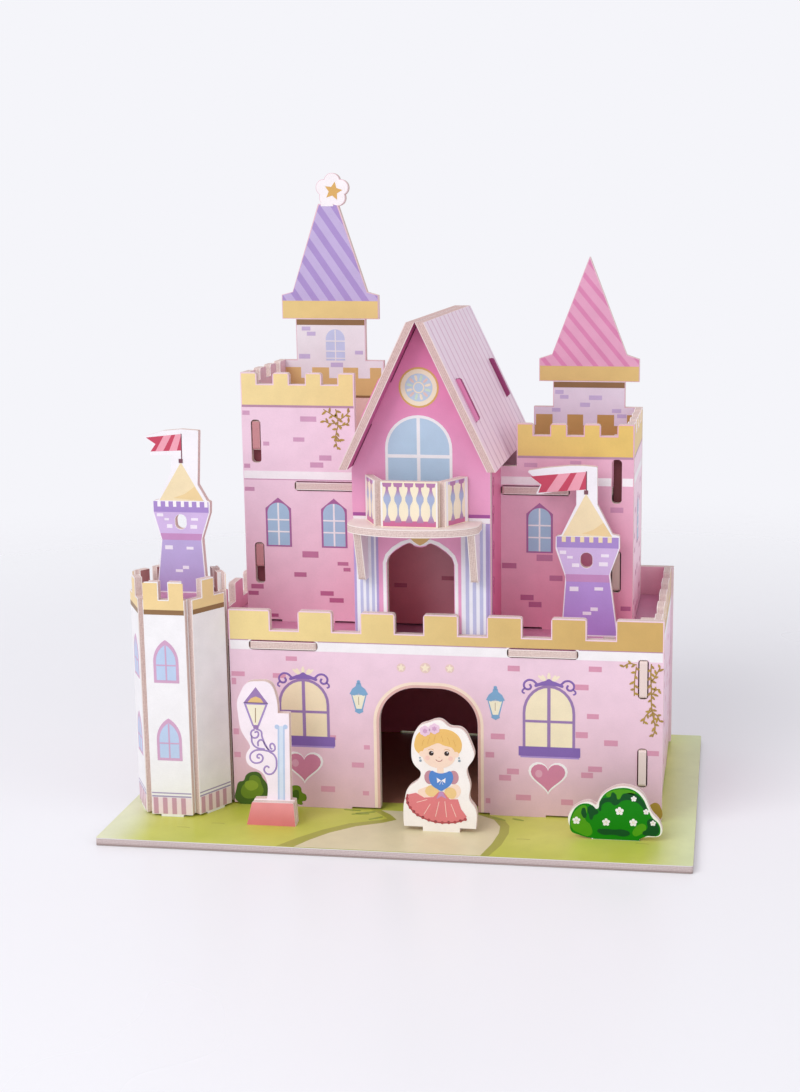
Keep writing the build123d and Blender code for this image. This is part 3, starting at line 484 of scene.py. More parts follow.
INKS = {
    "gold": across_fade("#F2DB98", "#D0AA64", -75, 99),
    "gold_deep": across_fade("#E4BF80", "#C49A58", -70, 85),
    "gold_upper": across_fade("#F2DB9C", "#E6C26C", -75, 85),
    "gold_band": across_fade("#EBCE88", "#E2C27C", -50, 63), "gold_pale": "#F0D398",
    "gold_thin": "#DDAE62", "brown_line": "#8F6B45", "under_brown": "#A87460",
    "brick_pink": across_fade("#DD9DB8", "#D896B0", -70, 95),
    "brick_rose": graded("#C06A95", "#D2A0BF", 75, 155), "brick_wine": "#A8406E",
    "doorway_brick": "#CE5E7C", "brick_lilac": "#CDBCE0", "brick_white": "#F3E9F6",
    "doorway_wine": across_fade("#F88A9C", "#FFA6B8", -4, 12), "rim_rose": "#E3B8B0",
    "gate_rim": "#FBE5D2", "paper_white": "#F7F3F6", "bar_white": "#F5F1F4", "belt_white": "#FAF4F7",
    "star_cream": "#F8E9CF", "wall_pale": "#F3ECF1", "wall_lilac": "#ECE0EE", "peach_painted_shade": "#F0CBC0",
    "mauve_line": "#B98CA6", "mauve_frame": "#A9659C", "pink_frame": "#D3A6C6", "purple_frame": "#9A7AB0",
    "purple_sill": "#8262B0", "purple_light": "#A98CD0", "crown_violet": "#8565B0",
    "ring_pink": "#EACDC4", "pane_blue": graded("#A5C3DE", "#B9D0E6", 100, 160),
    "pane_cream": across_fade("#F2E0BE", "#F5E7C6", -50, 60), "pane_pale": "#BDD0EC",
    "pane_lavender": "#CBD2F0", "pane_mint": "#D3E6CF", "rose_glass": "#C4D5E8", "heart": "#D283A3",
    "heart_light": "#DEA5BC", "lantern_blue": "#7DA9CF", "lantern_cream": "#F4ECD2",
    "vine_olive": "#A98743", "leaf_olive": "#B4923F", "leaf_green": "#66851A", "leaf_dark": "#3E5F12",
    "leaf_light": "#87A12C", "path_sand": "#E0D6B0", "path_edge": "#A9A94A", "tuft": "#93A33E",
    "cone_lilac": slanting("#C5B4DE", "#AC93CE", 10.5, 0.45, 1.45),
    "magenta": graded("#D574AC", "#C45D94", 120, 190),
    "cone_pink": slanting("#E8A8C6", "#DE89B4", 8.0, 0.36, 1.2), "magenta_line": "#A4509A",
    "rail_magenta": "#CE6F9C", "column_white": "#EFEDF6", "column_blue": "#BEBEE0",
    "column_purple": "#B3A0D2", "vase_violet": vase_tint, "mauve_stripe": "#CB9CB2",
    "mauve_rule": "#A99BC0", "skirt_pale": "#F2DEE6",
    "tower_violet": graded("#BBA6DA", "#BEAADB", 89, 110),
    "tower_purple": graded("#B690DA", "#B895DA", 70, 92), "tower_lilac": "#D3B8E4",
    "tower_crown": "#A98BCC", "tower_waist": "#C78FC1", "cone_cream": "#F3DFB6", "cone_shade": "#EFD29C",
    "flag_red": "#C8435F", "flag_pink": "#F0A3B4", "dark_knob": "#7A4A58", "post_blue": "#D6E2F2",
    "post_line": "#B9CCE8", "scroll_violet": "#A58CC4", "hair_gold": "#EEC06C", "hair_shade": "#D79A45",
    "skin": "#F9DCC6", "skin_shade": "#EDB9A0", "cheek": "#F6CBBC", "eye_brown": "#2E1A14",
    "mouth_red": "#9A3A40", "dress_coral": "#DF7C7F", "dress_fold": "#F8D8C8", "dress_hem": "#B04A50",
    "dress_blue": "#4F86CE", "dress_mauve": "#C391BF", "sleeve_rose": "#C48C98", "glove_gold": "#EFCB8A",
    "bead_grey": "#8FA0A8", "rose_pink": "#ECCADF", "rose_core": "#D3A3C6", "bush_mid": "#078203",
    "bush_dark": "#034E1E", "bush_light": "#4E9C12"}


def offset_ink(name):
    """Offset ink on the board's paper, made at its first use: satin, a little clouded, faintly fibrous."""
    known = bpy.data.materials.get("offset_ink_" + name)
    if known:
        return known
    made, tree, coords = empty_material("offset_ink_" + name)
    inked, paper = ink_on_paper(tree, coords, drawn(INKS[name], tree, coords))
    bump = node(tree, "Bump", {"Height": paper, "Distance": FACE_RELIEF * MM, "Strength": RELIEF_STRENGTH})
    shader = node(tree, "BsdfPrincipled", {
        "Base Color": inked, "Roughness": INK_GLOSS, "Normal": bump.outputs[0],
        "IOR": DEEP_INK_IOR if name.startswith("bush") else INK_IOR})
    node(tree, "OutputMaterial", {"Surface": shader.outputs[0]})
    return made


def face_place(name, outward):
    """The printed face of a flat card: across, up and out of the board, in millimetres."""
    low, high = mm_box(name)
    out = Vector(outward)
    up = Vector(REAR if out.z else UP)
    across = Vector(REAR if out.x else RIGHT)
    start = Vector([(low[k] if out[k] < 0 else high[k]) if out[k] else 0 for k in range(3)])
    return place_on(start, across, up, out)


def place_on(start, across, up, out):
    """A face through start with its own across, up and outward directions."""
    place = Matrix.Identity(4)
    for column, way in enumerate((across, up, out, start)):
        for row in range(3):
            place[row][column] = way[row] * MM
    return place


def area(ink, layer, *outlines, smooth=False):
    """Printed areas in one ink; an outline inside another stays open."""
    return {"ink": ink, "layer": layer, "runs": outlines, "width": None, "smooth": smooth}


def soft(ink, layer, *outlines):
    """Areas whose outlines run in curves through their points."""
    return area(ink, layer, *outlines, smooth=True)


def stroke(ink, layer, points, width, smooth=True):
    """A drawn line."""
    return {"ink": ink, "layer": layer, "runs": [points], "width": width, "smooth": smooth}


def ink_curve(name, shape):
    """The flat filled curve of an area, or the round bevelled one of a line."""
    curve = bpy.data.curves.new(name, "CURVE")
    is_area = shape["width"] is None
    curve.dimensions = "2D" if is_area else "3D"
    if is_area:
        curve.fill_mode = "BOTH"
        curve.extrude = FILM * shape["layer"] / 2
    else:
        curve.bevel_depth = shape["width"] / 2
        curve.bevel_resolution = 1
        curve.use_fill_caps = True
    curve.resolution_u = 8
    for run in shape["runs"]:
        spline = curve.splines.new("BEZIER" if shape["smooth"] else "POLY")
        points = spline.bezier_points if shape["smooth"] else spline.points
        points.add(len(run) - 1)
        for point, (u, v) in zip(points, run):
            if shape["smooth"]:
                point.co = (u, v, 0)
                point.handle_left_type = point.handle_right_type = "AUTO"
            else:
                point.co = (u, v, 0, 1)
        spline.use_cyclic_u = is_area
    return curve


def print_face(name, place, shapes):
    """Lays printed shapes on a face and joins them to one piece."""
    bpy.ops.object.select_all(action="DESELECT")
    films = [bpy.data.objects.new(name, ink_curve(name, shape)) for shape in shapes]
    for film in films:
        bpy.context.scene.collection.objects.link(film)
        film.select_set(True)
    bpy.context.view_layer.objects.active = films[0]
    bpy.ops.object.convert(target="MESH")
    for film, shape in zip(films, shapes):
        height = FILM * shape["layer"]
        if shape["width"] is None:
            film.data.transform(Matrix.Translation((0, 0, height / 2)))
        else:
            film.data.transform(Matrix.Diagonal((1, 1, 2 * height / shape["width"], 1)))
        film.data.transform(place)
        if place.determinant() < 0:
            film.data.flip_normals()
        film.data.materials.clear()
        film.data.materials.append(offset_ink(shape["ink"]))
    bpy.ops.object.join()
    piece = bpy.context.object
    piece.name = name
    piece.data.name = name
    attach(piece, "root")


# Shapes that the prints share
def block(x0, x1, z0, z1):
    """A rectangle's corners."""
    return [(x0, z0), (x1, z0), (x1, z1), (x0, z1)]


def rounded_block(x0, x1, z0, z1, radius, steps=4):
    """A rectangle with round corners."""
    outline = []
    for x, z, first in ((x1 - radius, z1 - radius, 0), (x0 + radius, z1 - radius, 90),
                        (x0 + radius, z0 + radius, 180), (x1 - radius, z0 + radius, 270)):
        turns = [math.radians(first + 90 * k / steps) for k in range(steps + 1)]
        outline += [(x + radius * math.cos(t), z + radius * math.sin(t)) for t in turns]
    return outline


def bricks(ink, sizes, layer=1):
    """Loose printed bricks, each given by its corner, width and height."""
    return area(ink, layer, *[block(x, x + w, z, z + h) for x, z, w, h in sizes])


BRICK_HIGH, BRICK_LONG, SECOND_LONG = 2.1, (4.4, 5.8), (4.2, 5.2)
PAIR_SHARE, PAIR_STEPS, PAIR_DROP = 0.4, (-3.4, 3.2), 2.3
APART_ACROSS, APART_UP = 9, 6
TRIES_PER_BRICK = 40


def scattered_bricks(seed, x0, x1, z0, z1, count, keep_off=()):
    """Bricks spread over a wall, single or in a stepped pair, clear of windows and slots."""
    chance = random.Random(seed)
    placed = []
    for _ in range(TRIES_PER_BRICK * count):
        if len(placed) >= count:
            break
        x = chance.uniform(x0, x1 - 6)
        z = chance.uniform(z0, z1 - 3)
        fresh = [(x, z, chance.uniform(*BRICK_LONG), BRICK_HIGH)]
        if chance.random() < PAIR_SHARE:
            beside = x + chance.choice(PAIR_STEPS)
            fresh.append((beside, z - PAIR_DROP, chance.uniform(*SECOND_LONG), BRICK_HIGH))
        clear = all(bx >= ox1 or bx + bw <= ox0 or bz >= oz1 or bz + bh <= oz0
                    for bx, bz, bw, bh in fresh for ox0, ox1, oz0, oz1 in keep_off)
        inside = all(x0 <= bx and bx + bw <= x1 and z0 <= bz for bx, bz, bw, bh in fresh)
        apart = all(
            abs(bx - px) > APART_ACROSS or abs(bz - pz) > APART_UP
            for bx, bz, _, _ in fresh for px, pz, _, _ in placed)
        if clear and inside and apart:
            placed += fresh
    return placed


def arch(x0, x1, foot, spring, top, steps=14):
    """Upright sides with a round head."""
    middle, half = (x0 + x1) / 2, (x1 - x0) / 2
    turns = [math.pi * k / steps for k in range(steps + 1)]
    head = [(middle + half * math.cos(t), spring + (top - spring) * math.sin(t)) for t in turns]
    return [(x0, foot), (x1, foot)] + head


def pointed_arch(x0, x1, foot, spring, top, steps=8):
    """Upright sides with a pointed head: each side's arc turns about the foot of the other."""
    turns = [math.pi / 3 * k / steps for k in range(steps + 1)]
    rise = (top - spring) / math.sin(math.pi / 3)
    right = [(x0 + (x1 - x0) * math.cos(t), spring + rise * math.sin(t)) for t in turns]
    left = [(x0 + x1 - u, v) for u, v in reversed(right[:-1])]
    return [(x0, foot), (x1, foot)] + right + left


def disc(x, z, radius, steps=28, squash=1.0):
    """A round outline."""
    turns = [2 * math.pi * k / steps for k in range(steps)]
    return [(x + radius * math.cos(t), z + squash * radius * math.sin(t)) for t in turns]


def petals_outline(x, z, ring, petal, core, count=5, steps=60):
    """The joined outline of a flower: round petals on a ring about a core."""
    outline = []
    for k in range(steps):
        turn = 2 * math.pi * k / steps
        reach = core
        for number in range(count):
            off = turn - math.pi / 2 - 2 * math.pi * number / count
            inside = petal ** 2 - (ring * math.sin(off)) ** 2
            if inside > 0:
                reach = max(reach, ring * math.cos(off) + math.sqrt(inside))
        outline.append((x + reach * math.cos(turn), z + reach * math.sin(turn)))
    return outline


def star(x, z, outer, inner, points=5, turn=90.0):
    """A star's outline."""
    outline = []
    for k in range(2 * points):
        reach, angle = (inner if k % 2 else outer), math.radians(turn + 180 * k / points)
        outline.append((x + reach * math.cos(angle), z + reach * math.sin(angle)))
    return outline


def leaf(x, z, length, width, turn):
    """A pointed leaf that grows from x, z."""
    c, s = math.cos(math.radians(turn)), math.sin(math.radians(turn))
    shape = [(0, 0), (0.35, 0.5), (0.7, 0.42), (1, 0), (0.7, -0.42), (0.35, -0.5)]
    return [(x + a * length * c - b * width * s, z + a * length * s + b * width * c) for a, b in shape]


def heart_outline(x, z, width, height, steps=32):
    """A heart about its middle."""
    outline = []
    for k in range(steps):
        t = 2 * math.pi * k / steps
        u = math.sin(t) ** 3
        v = (13 * math.cos(t) - 5 * math.cos(2 * t) - 2 * math.cos(3 * t) - math.cos(4 * t)) / 16
        outline.append((x + u * width / 2, z + (v + 0.1) * height / 1.75))
    return outline


# Printed details, in millimetres on each card's own face
GOLD_FOOT, CRENEL_FOOT, WALL_TOP = 71.0, 75.0, 83.0
CRENEL_GAP, CRENEL_PITCH = 11.2, 24.8
RULE = (70.7, 71.05)
TOWER_GAP, TOWER_DROP, TOWER_INSET = 6.6, 4.6, 0.4
UPPER_WINDOW = (101.9, 117.6, 122.0, (112.9, 108.0))
COLUMN = (71.2, 118.5)
SIDE_SCROLLS = (78.0, 92.0, 106.0, 120.0, 131.0)
RAIL_MIDDLE, RAIL_FOLD, RAIL_FACE = 4.2, -42.5, -45.5
HEX_GOLD, HEX_NOTCH, HEX_TOP = 86.0, 89.7, 96.6
SKIRT = (4.0, 10.7)
FRAME, HALF_BAR = 1.1, 0.65
LEAF_LEAN, LEAF_LONG, LEAF_WIDE = (35, 75), (1.5, 2.3), 0.85


def round_window(x0, x1, foot, spring, top, rail):
    """A lower window: violet frame and cross bars, cream panes and a broad sill."""
    middle = (x0 + x1) / 2
    panes = arch(x0 + FRAME, x1 - FRAME, foot + 0.6, spring, top - FRAME)
    return [
        area("purple_frame", 2, arch(x0, x1, foot, spring, top)),
        area("pane_cream", 3, panes),
        area("purple_frame", 4, block(middle - HALF_BAR, middle + HALF_BAR, foot + 0.6, top - 0.8)),
        area("purple_frame", 5, block(x0 + 0.8, x1 - 0.8, rail - 0.5, rail + 0.5)),
        area("purple_light", 1, block(x0 - 0.9, x1 + 1.6, foot - 4.0, foot - 2.8)),
        area("purple_sill", 3, block(x0 - 1.6, x1 + 2.0, foot - 3.3, foot + 0.5))]


def window_crown(x, z):
    """The scrollwork over a lower window: a low boss, a scroll each side and pale petals above."""
    boss = ((-5.6, -0.6), (-3.4, 0.9), (-1.2, 1.7), (0, 2.4), (1.2, 1.7), (3.4, 0.9), (5.6, -0.6),
        (3.2, -0.4), (0, -0.2), (-3.2, -0.4))
    scroll = ((4.6, 0.2), (6.6, 1.7), (8.8, 1.3), (9.7, -0.6), (8.4, -2.0), (7.0, -1.2), (7.4, 0.1))
    tail = ((9.3, -1.4), (10.3, -3.0), (9.4, -3.7))
    shapes = [soft("crown_violet", 4, [(x + u, z + v) for u, v in boss])]
    for side in (-1, 1):
        shapes += [
            stroke("crown_violet", 4, [(x + side * u, z + v) for u, v in run], width)
            for run, width in ((scroll, 0.85), (tail, 0.7))]
        for lean, far, layer in ((62, 2.6, 2), (36, 3.4, 1)):
            turn = 90 - side * (90 - lean)
            shapes.append(soft("star_cream", layer, leaf(x + side * 1.4, z + 1.6, far, 1.2, turn)))
    shapes.append(soft("star_cream", 3, leaf(x, z + 2.0, 2.8, 1.3, 90)))
    return shapes


def wall_lantern(x, z):
    """A small wall lantern about its middle height."""
    return [
        area("lantern_blue", 3, [(x - 3.7, z + 1.3), (x - 2.6, z + 3.4), (x - 1.1, z + 4.6),
            (x - 0.9, z + 5.8), (x + 0.9, z + 5.8), (x + 1.1, z + 4.6), (x + 2.6, z + 3.4),
            (x + 3.7, z + 1.3), (x + 1.8, z + 0.7), (x, z + 1.5), (x - 1.8, z + 0.7)]),
        area("lantern_blue", 3, disc(x, z + 6.3, 0.7)),
        area("lantern_blue", 1, [(x - 3.1, z + 1.2), (x + 3.1, z + 1.2), (x + 1.5, z - 5.2),
            (x - 1.5, z - 5.2)]),
        area("lantern_cream", 2, [(x - 2.6, z + 1.0), (x + 2.6, z + 1.0), (x + 1.05, z - 4.6),
            (x - 1.05, z - 4.6)]),
        stroke("brown_line", 3, [(x - 0.1, z + 0.3), (x - 0.1, z - 3.0)], 0.3, smooth=False),
        area("lantern_blue", 3, [(x - 1.4, z - 4.8), (x + 1.4, z - 4.8), (x + 1.7, z - 5.8), (x, z - 6.7),
            (x - 1.7, z - 5.8)])]


def printed_heart(x, z):
    """A heart with a white outline and a highlight."""
    return [
        area("paper_white", 2, heart_outline(x, z, 15.4, 12.9)),
        area("heart", 3, heart_outline(x, z + 0.05, 13.5, 11.1)),
        area("heart_light", 4, disc(x - 3.6, z + 1.5, 1.4, squash=1.1))]


def printed_star(x, z, size):
    """A small cream star in a pale ring."""
    return [
        area("ring_pink", 2, disc(x, z, 1.75 * size)),
        area("star_cream", 3, star(x, z, 1.6 * size, 0.75 * size))]


def vine(runs, seed, width=0.5, spacing=1.5):
    """Climbing twigs with small leaves to both sides all the way along."""
    chance = random.Random(seed)
    shapes = [stroke("vine_olive", 3, run, width) for run in runs]
    side = 1
    for run in runs:
        for (x0, z0), (x1, z1) in zip(run, run[1:]):
            length = math.hypot(x1 - x0, z1 - z0)
            heading = math.degrees(math.atan2(z1 - z0, x1 - x0))
            for k in range(max(1, round(length / spacing))):
                share = (k + 0.5) * spacing / length
                turn = heading + side * chance.uniform(*LEAF_LEAN)
                foot = (x0 + (x1 - x0) * share, z0 + (z1 - z0) * share)
                outline = leaf(*foot, chance.uniform(*LEAF_LONG), LEAF_WIDE, turn)
                ink = chance.choice(("leaf_olive", "vine_olive"))
                shapes.append(soft(ink, 4 if side > 0 else 5, outline))
                side = -side
    return shapes


def lower_crenels(x0, x1, first, gap, pitch, count,
                  low=GOLD_FOOT, notch=CRENEL_FOOT, top=WALL_TOP, inset=0.45):
    """The gold band of a crenelled wall, set in a little from the cut edge."""
    outline = [(x1 - inset, low), (x1 - inset, top - inset)]
    gaps = [(first + k * pitch, first + k * pitch + gap) for k in range(count)]
    for start, end in reversed(gaps):
        outline += [
            (end + inset, top - inset), (end + inset, notch - inset),
            (start - inset, notch - inset), (start - inset, top - inset)]
    return outline + [(x0 + inset, top - inset), (x0 + inset, low)]


def front_wall_print():
    """The gate wall: windows, lanterns, hearts, stars, bricks, bushes at its foot, a vine at its corner."""
    shapes = [
        area("gold", 1, lower_crenels(-70.8, 99.3, -54.2, CRENEL_GAP, CRENEL_PITCH, 6)),
        area("paper_white", 1, [(-70.4, 67.0), (89.4, 67.0), (89.4, 67.8), (93.8, 67.8), (93.8, 67.0),
            (98.9, 67.0), (98.9, 70.9), (-70.4, 70.9)], *DECK_SLOTS),
        area("mauve_line", 2, *[block(x0, x1, *RULE) for x0, x1 in CLEAR_OF_DECK_SLOTS]),
        bricks("brick_pink", FRONT_BRICKS)]
    shapes += round_window(-51.6, -31.2, 31.8, 45.5, 55.9, 42.4)
    shapes += window_crown(-41.4, 56.0)
    shapes += round_window(45.2, 65.6, 31.2, 45.3, 56.6, 42.0)
    shapes += window_crown(55.4, 56.7)
    shapes += wall_lantern(-19.3, 49.0)
    shapes += wall_lantern(34.6, 48.6)
    shapes += printed_heart(-41.9, 19.6)
    shapes += printed_heart(55.1, 19.3)
    for x, z, size in ((-2.3, 61.6, 1.0), (7.2, 61.8, 1.2), (16.8, 61.9, 1.0)):
        shapes += printed_star(x, z, size)
    shapes += [
        area("gate_rim", 1, gate_line(2.3) + gate_line(0.1)[::-1]),
        area("rim_rose", 2, gate_line(1.1) + gate_line(0.1)[::-1])]
    shapes += [
        soft("leaf_dark", 2, [(-70.1, 4.4), (-69.9, 9.5), (-68.8, 12.2), (-67.0, 12.8), (-65.6, 15.4),
            (-62.7, 16.7), (-60.2, 16.2), (-59.0, 14.2), (-57.3, 11.7), (-56.8, 8.0), (-56.8, 5.7),
            (-60.0, 4.2)]),
        soft("leaf_green", 3, [(-67.6, 6.4), (-67.4, 10.6), (-65.0, 12.4), (-63.9, 14.9), (-61.0, 14.8),
            (-59.6, 11.6), (-59.0, 8.2), (-62.0, 6.0)]),
        soft("leaf_light", 4, [(-66.5, 11.6), (-64.4, 13.0), (-61.8, 12.6), (-60.9, 11.0), (-62.5, 9.2),
            (-65.1, 9.0)]),
        soft("leaf_green", 2, [(-47.8, 6.3), (-47.7, 10.8), (-45.6, 11.8), (-43.6, 10.9), (-43.2, 9.0),
            (-41.6, 7.9), (-41.7, 5.6), (-43.2, 5.0), (-43.0, 4.0), (-45.0, 4.0), (-46.4, 5.0)]),
        soft("leaf_dark", 3, [(-47.0, 6.9), (-46.8, 9.2), (-45.0, 9.8), (-44.4, 7.6), (-45.2, 5.6)]),
        soft("leaf_olive", 2, [(93.9, 4.3), (94.0, 8.0), (95.2, 10.2), (97.2, 10.9), (98.7, 9.6),
            (98.8, 4.3)])]
    shapes += vine([
        [(94.6, 66.4), (94.4, 62.0), (94.7, 56.0), (94.9, 49.0), (95.6, 45.0), (96.3, 40.6), (95.4, 37.4)],
        [(94.6, 59.0), (96.2, 61.6), (97.9, 65.0)],
        [(94.8, 54.0), (96.6, 56.2), (98.0, 56.4)],
        [(89.0, 65.8), (86.0, 66.2), (83.8, 64.8)],
        [(88.9, 65.2), (88.3, 60.0), (88.2, 53.5)],
        [(95.2, 47.4), (97.0, 45.9), (98.2, 43.6)],
        [(95.0, 48.0), (92.6, 45.6), (91.8, 42.6)]], 4)
    print_face("front_wall_print", face_place("front_wall", FRONT), shapes)


DECK_SLOTS = [rounded_block(x - 13.8, x + 13.8, 67.05, 70.88, 1.5) for x in (-49.1, 52.9)]
CLEAR_OF_DECK_SLOTS = ((-70.4, -63.0), (-35.2, 39.0), (66.8, 98.9))


def gate_line(grow, foot=3.9, steps=12):
    """The gate's opening, grown outwards: straight sides and a flat head with two round corners."""
    turns = [math.pi / 2 * k / steps for k in range(steps + 1)]
    right = [(8.1 + 4.5 + (15.0 + grow) * math.cos(t), 39.2 + (14.5 + grow) * math.sin(t)) for t in turns]
    left = [(16.2 - u, v) for u, v in reversed(right)]
    return [(27.6 + grow, foot)] + right + left + [(-11.4 - grow, foot)]


FRONT_BRICKS = [(-70.3, 56.0, 5.4, 1.9), (-53.6, 55.8, 5.2, 1.9), (-48.2, 62.9, 4.5, 1.8),
    (-31.7, 31.3, 2.9, 1.8), (-17.7, 27.8, 2.4, 1.8), (-22.7, 20.2, 4.9, 2.1), (-35.4, 9.6, 5.7, 2.4),
    (-18.5, 8.8, 2.5, 1.8), (39.4, 61.7, 4.7, 2.2), (70.7, 62.5, 5.0, 2.1), (65.4, 55.1, 5.3, 2.2),
    (70.1, 43.7, 4.6, 2.0), (65.8, 35.9, 4.7, 2.4), (76.8, 33.1, 5.3, 2.3), (93.4, 29.8, 4.5, 2.0),
    (32.7, 34.1, 5.5, 2.3), (30.6, 26.6, 3.4, 2.2), (39.0, 20.1, 4.7, 2.3), (35.9, 17.4, 4.7, 2.3),
    (70.7, 22.4, 5.4, 2.2), (68.0, 19.8, 4.6, 2.2), (42.5, 9.6, 5.9, 2.3), (60.2, 8.4, 4.7, 2.3),
    (30.6, 7.8, 1.8, 2.1), (-70.3, 52.6, 1.8, 2.6), (-70.3, 32.0, 2.2, 2.4), (-70.3, 22.5, 2.6, 2.2)]


def plain_wall_print(name, outward, x0, x1, gold, seed):
    """A side or rear lower wall: gold battlements, the white line and loose bricks."""
    slots = DECK_SLOTS if outward == REAR else []
    spans = [(x0 + 0.4, -63.0), (-35.2, 39.0), (66.8, x1 - 0.4)] if slots else [(x0 + 0.4, x1 - 0.4)]
    loose = scattered_bricks(seed, x0 + 2, x1 - 2, 8, 65, 22, keep_off=[(-60, 60, 66, 71)])
    shapes = [
        area("gold", 1, gold),
        area("paper_white", 1, block(x0 + 0.4, x1 - 0.4, 67.0, 70.9), *slots),
        area("mauve_line", 2, *[block(a, b, *RULE) for a, b in spans]),
        bricks("brick_pink", loose)]
    print_face(name + "_print", face_place(name, outward), shapes)


def lower_walls_print():
    """The three plainer lower walls."""
    front, depth, gap = -30.4, 93.6, 10.0
    merlon = (depth - 4 * gap) / 5
    pitch = merlon + gap
    rear_gold = lower_crenels(-85.5, 99.3, -79.0, CRENEL_GAP, CRENEL_PITCH, 7)
    right_gold = lower_crenels(-30.3, 63.1, front + merlon, gap, pitch, 4)
    left_gold = lower_crenels(-15.6, 63.1, front + merlon + pitch, gap, pitch, 3)
    plain_wall_print("rear_wall", REAR, -85.5, 99.3, rear_gold, 3)
    plain_wall_print("right_wall", RIGHT, -30.3, 63.1, right_gold, 5)
    plain_wall_print("left_wall", LEFT, -15.6, 63.1, left_gold, 8)


def pointed_window(x0, x1, foot, shoulder, apex, rails):
    """An upper window: a mauve frame with a pointed head, blue panes and white bars."""
    middle = (x0 + x1) / 2
    shapes = [
        area("mauve_frame", 2, [(x0, foot), (x1, foot), (x1, shoulder), (middle, apex), (x0, shoulder)]),
        area("pane_blue", 3, arch(x0 + 0.8, x1 - 0.8, foot + 0.3, shoulder - 1.9, apex - 2.1)),
        area("bar_white", 4, block(middle - 0.35, middle + 0.35, foot + 0.3, apex - 2.2)),
        area("mauve_frame", 4, block(x0, x1, foot - 0.1, foot + 0.5))]
    shapes += [area("bar_white", 5, block(x0 + 0.8, x1 - 0.8, rail - 0.3, rail + 0.3)) for rail in rails]
    return shapes


def tower_crenels(x0, x1, low, top, trim=0.0):
    """A tower side's gold battlements with three gaps; the print is set in by trim from the ends."""
    merlon = (x1 - x0 + 2 * trim - 3 * TOWER_GAP) / 4
    return lower_crenels(x0, x1, x0 - trim + merlon, TOWER_GAP, merlon + TOWER_GAP, 3, low,
        top - TOWER_DROP, top, TOWER_INSET)


def upper_front_print():
    """The two tower fronts: gold battlements, white belt, pointed windows, bricks and a vine."""
    left, right, left_end, right_start = -72.3, 85.3, -26.03, 39.03
    shapes = [
        area("gold_upper", 1, tower_crenels(left, left_end, 159.4, 172.4)),
        area("gold_upper", 1, tower_crenels(right_start, right, 140.7, 153.6)),
        area("mauve_line", 2, block(left + 0.3, left_end - 0.3, 158.6, 159.5)),
        area("mauve_line", 2, block(right_start + 0.3, right - 0.3, 139.9, 140.8)),
        area("belt_white", 1, block(left + 0.3, -21.2, 129.6, 132.8)),
        area("belt_white", 1, block(32.8, 76.4, 129.2, 132.4), block(80.8, right - 0.3, 129.2, 132.4)),
        area("doorway_wine", 1, block(-20.6, 32.2, 71.2, 118.0)),
        bricks("doorway_brick", [(-11.0, 86.2, 5.2, 1.7), (8.4, 89.6, 5.0, 1.7)], 2),
        area("brick_rose", 1, block(left + 0.3, -21.2, 129.2, 129.6)),
        bricks("brick_rose", LEFT_TOWER_BRICKS + RIGHT_TOWER_BRICKS)]
    for x0, x1 in ((-63.6, -53.0), (-40.6, -30.0), (42.8, 53.4)):
        shapes += pointed_window(x0, x1, *UPPER_WINDOW)
    shapes += vine([
        [(-33.6, 158.2), (-32.8, 152.5), (-33.9, 146.5), (-33.2, 142.0)],
        [(-33.0, 154.4), (-35.6, 156.2), (-38.6, 158.0)],
        [(-33.0, 153.4), (-30.2, 155.2), (-27.8, 157.6)],
        [(-33.2, 151.6), (-30.4, 151.8), (-28.4, 153.0)],
        [(-33.2, 152.6), (-36.2, 152.4), (-38.4, 153.4)],
        [(-33.8, 147.6), (-31.8, 145.0)]], 6, width=0.42)
    print_face("upper_front_wall_print", face_place("upper_front_wall", FRONT), shapes)


LEFT_TOWER_BRICKS = [(-71.9, 155.4, 3.0, 1.7), (-48.2, 153.0, 6.6, 2.1), (-51.3, 144.9, 4.6, 1.7),
    (-63.7, 143.1, 2.5, 1.6), (-40.8, 137.4, 5.0, 2.1), (-44.6, 134.5, 5.4, 2.1), (-71.9, 133.9, 2.5, 1.7),
    (-71.9, 124.5, 4.0, 1.6), (-48.8, 97.5, 6.7, 2.6), (-34.3, 94.5, 4.5, 1.5), (-31.9, 92.1, 2.9, 1.5),
    (-52.4, 89.4, 5.1, 1.9), (-70.6, 84.0, 5.2, 1.9), (-71.9, 81.3, 4.3, 1.7), (-41.7, 81.8, 5.5, 1.9),
    (-38.0, 79.0, 5.9, 1.9), (-62.9, 72.3, 3.4, 1.4)]
RIGHT_TOWER_BRICKS = [(42.0, 136.3, 5.2, 1.7), (60.2, 137.6, 4.4, 1.5), (76.2, 118.7, 5.1, 2.1),
    (46.9, 98.5, 6.4, 2.6), (33.0, 95.2, 5.8, 2.2), (52.1, 90.5, 5.2, 2.2), (40.4, 82.3, 5.3, 2.2),
    (43.7, 79.5, 5.2, 2.2), (80.6, 79.0, 4.0, 1.8)]


def upper_sides_print():
    """The towers' side walls: the same battlements, belt and bricks."""
    x0, x1 = 1.1, 54.9
    for name, outward, gold_low, top, seed in (
            ("upper_left_wall", LEFT, 159.4, 172.4, 11), ("upper_right_wall", RIGHT, 140.7, 153.6, 14)):
        clear = [(0, 60, 126, 135), (18, 38, 97, 125)]
        shapes = [
            area("gold_upper", 1, tower_crenels(x0, x1, gold_low, top, 0.1)),
            area("mauve_line", 2, block(x0 + 0.3, x1 - 0.3, gold_low - 0.8, gold_low + 0.1)),
            area("wall_pale", 1, block(x0 + 0.3, x1 - 0.3, 129.4, 132.6)),
            bricks("brick_rose", scattered_bricks(seed, x0 + 2, x1 - 2, 74, gold_low - 3, 13, clear))]
        shapes += pointed_window(22.7, 33.3, *UPPER_WINDOW)
        print_face(name + "_print", face_place(name, outward), shapes)


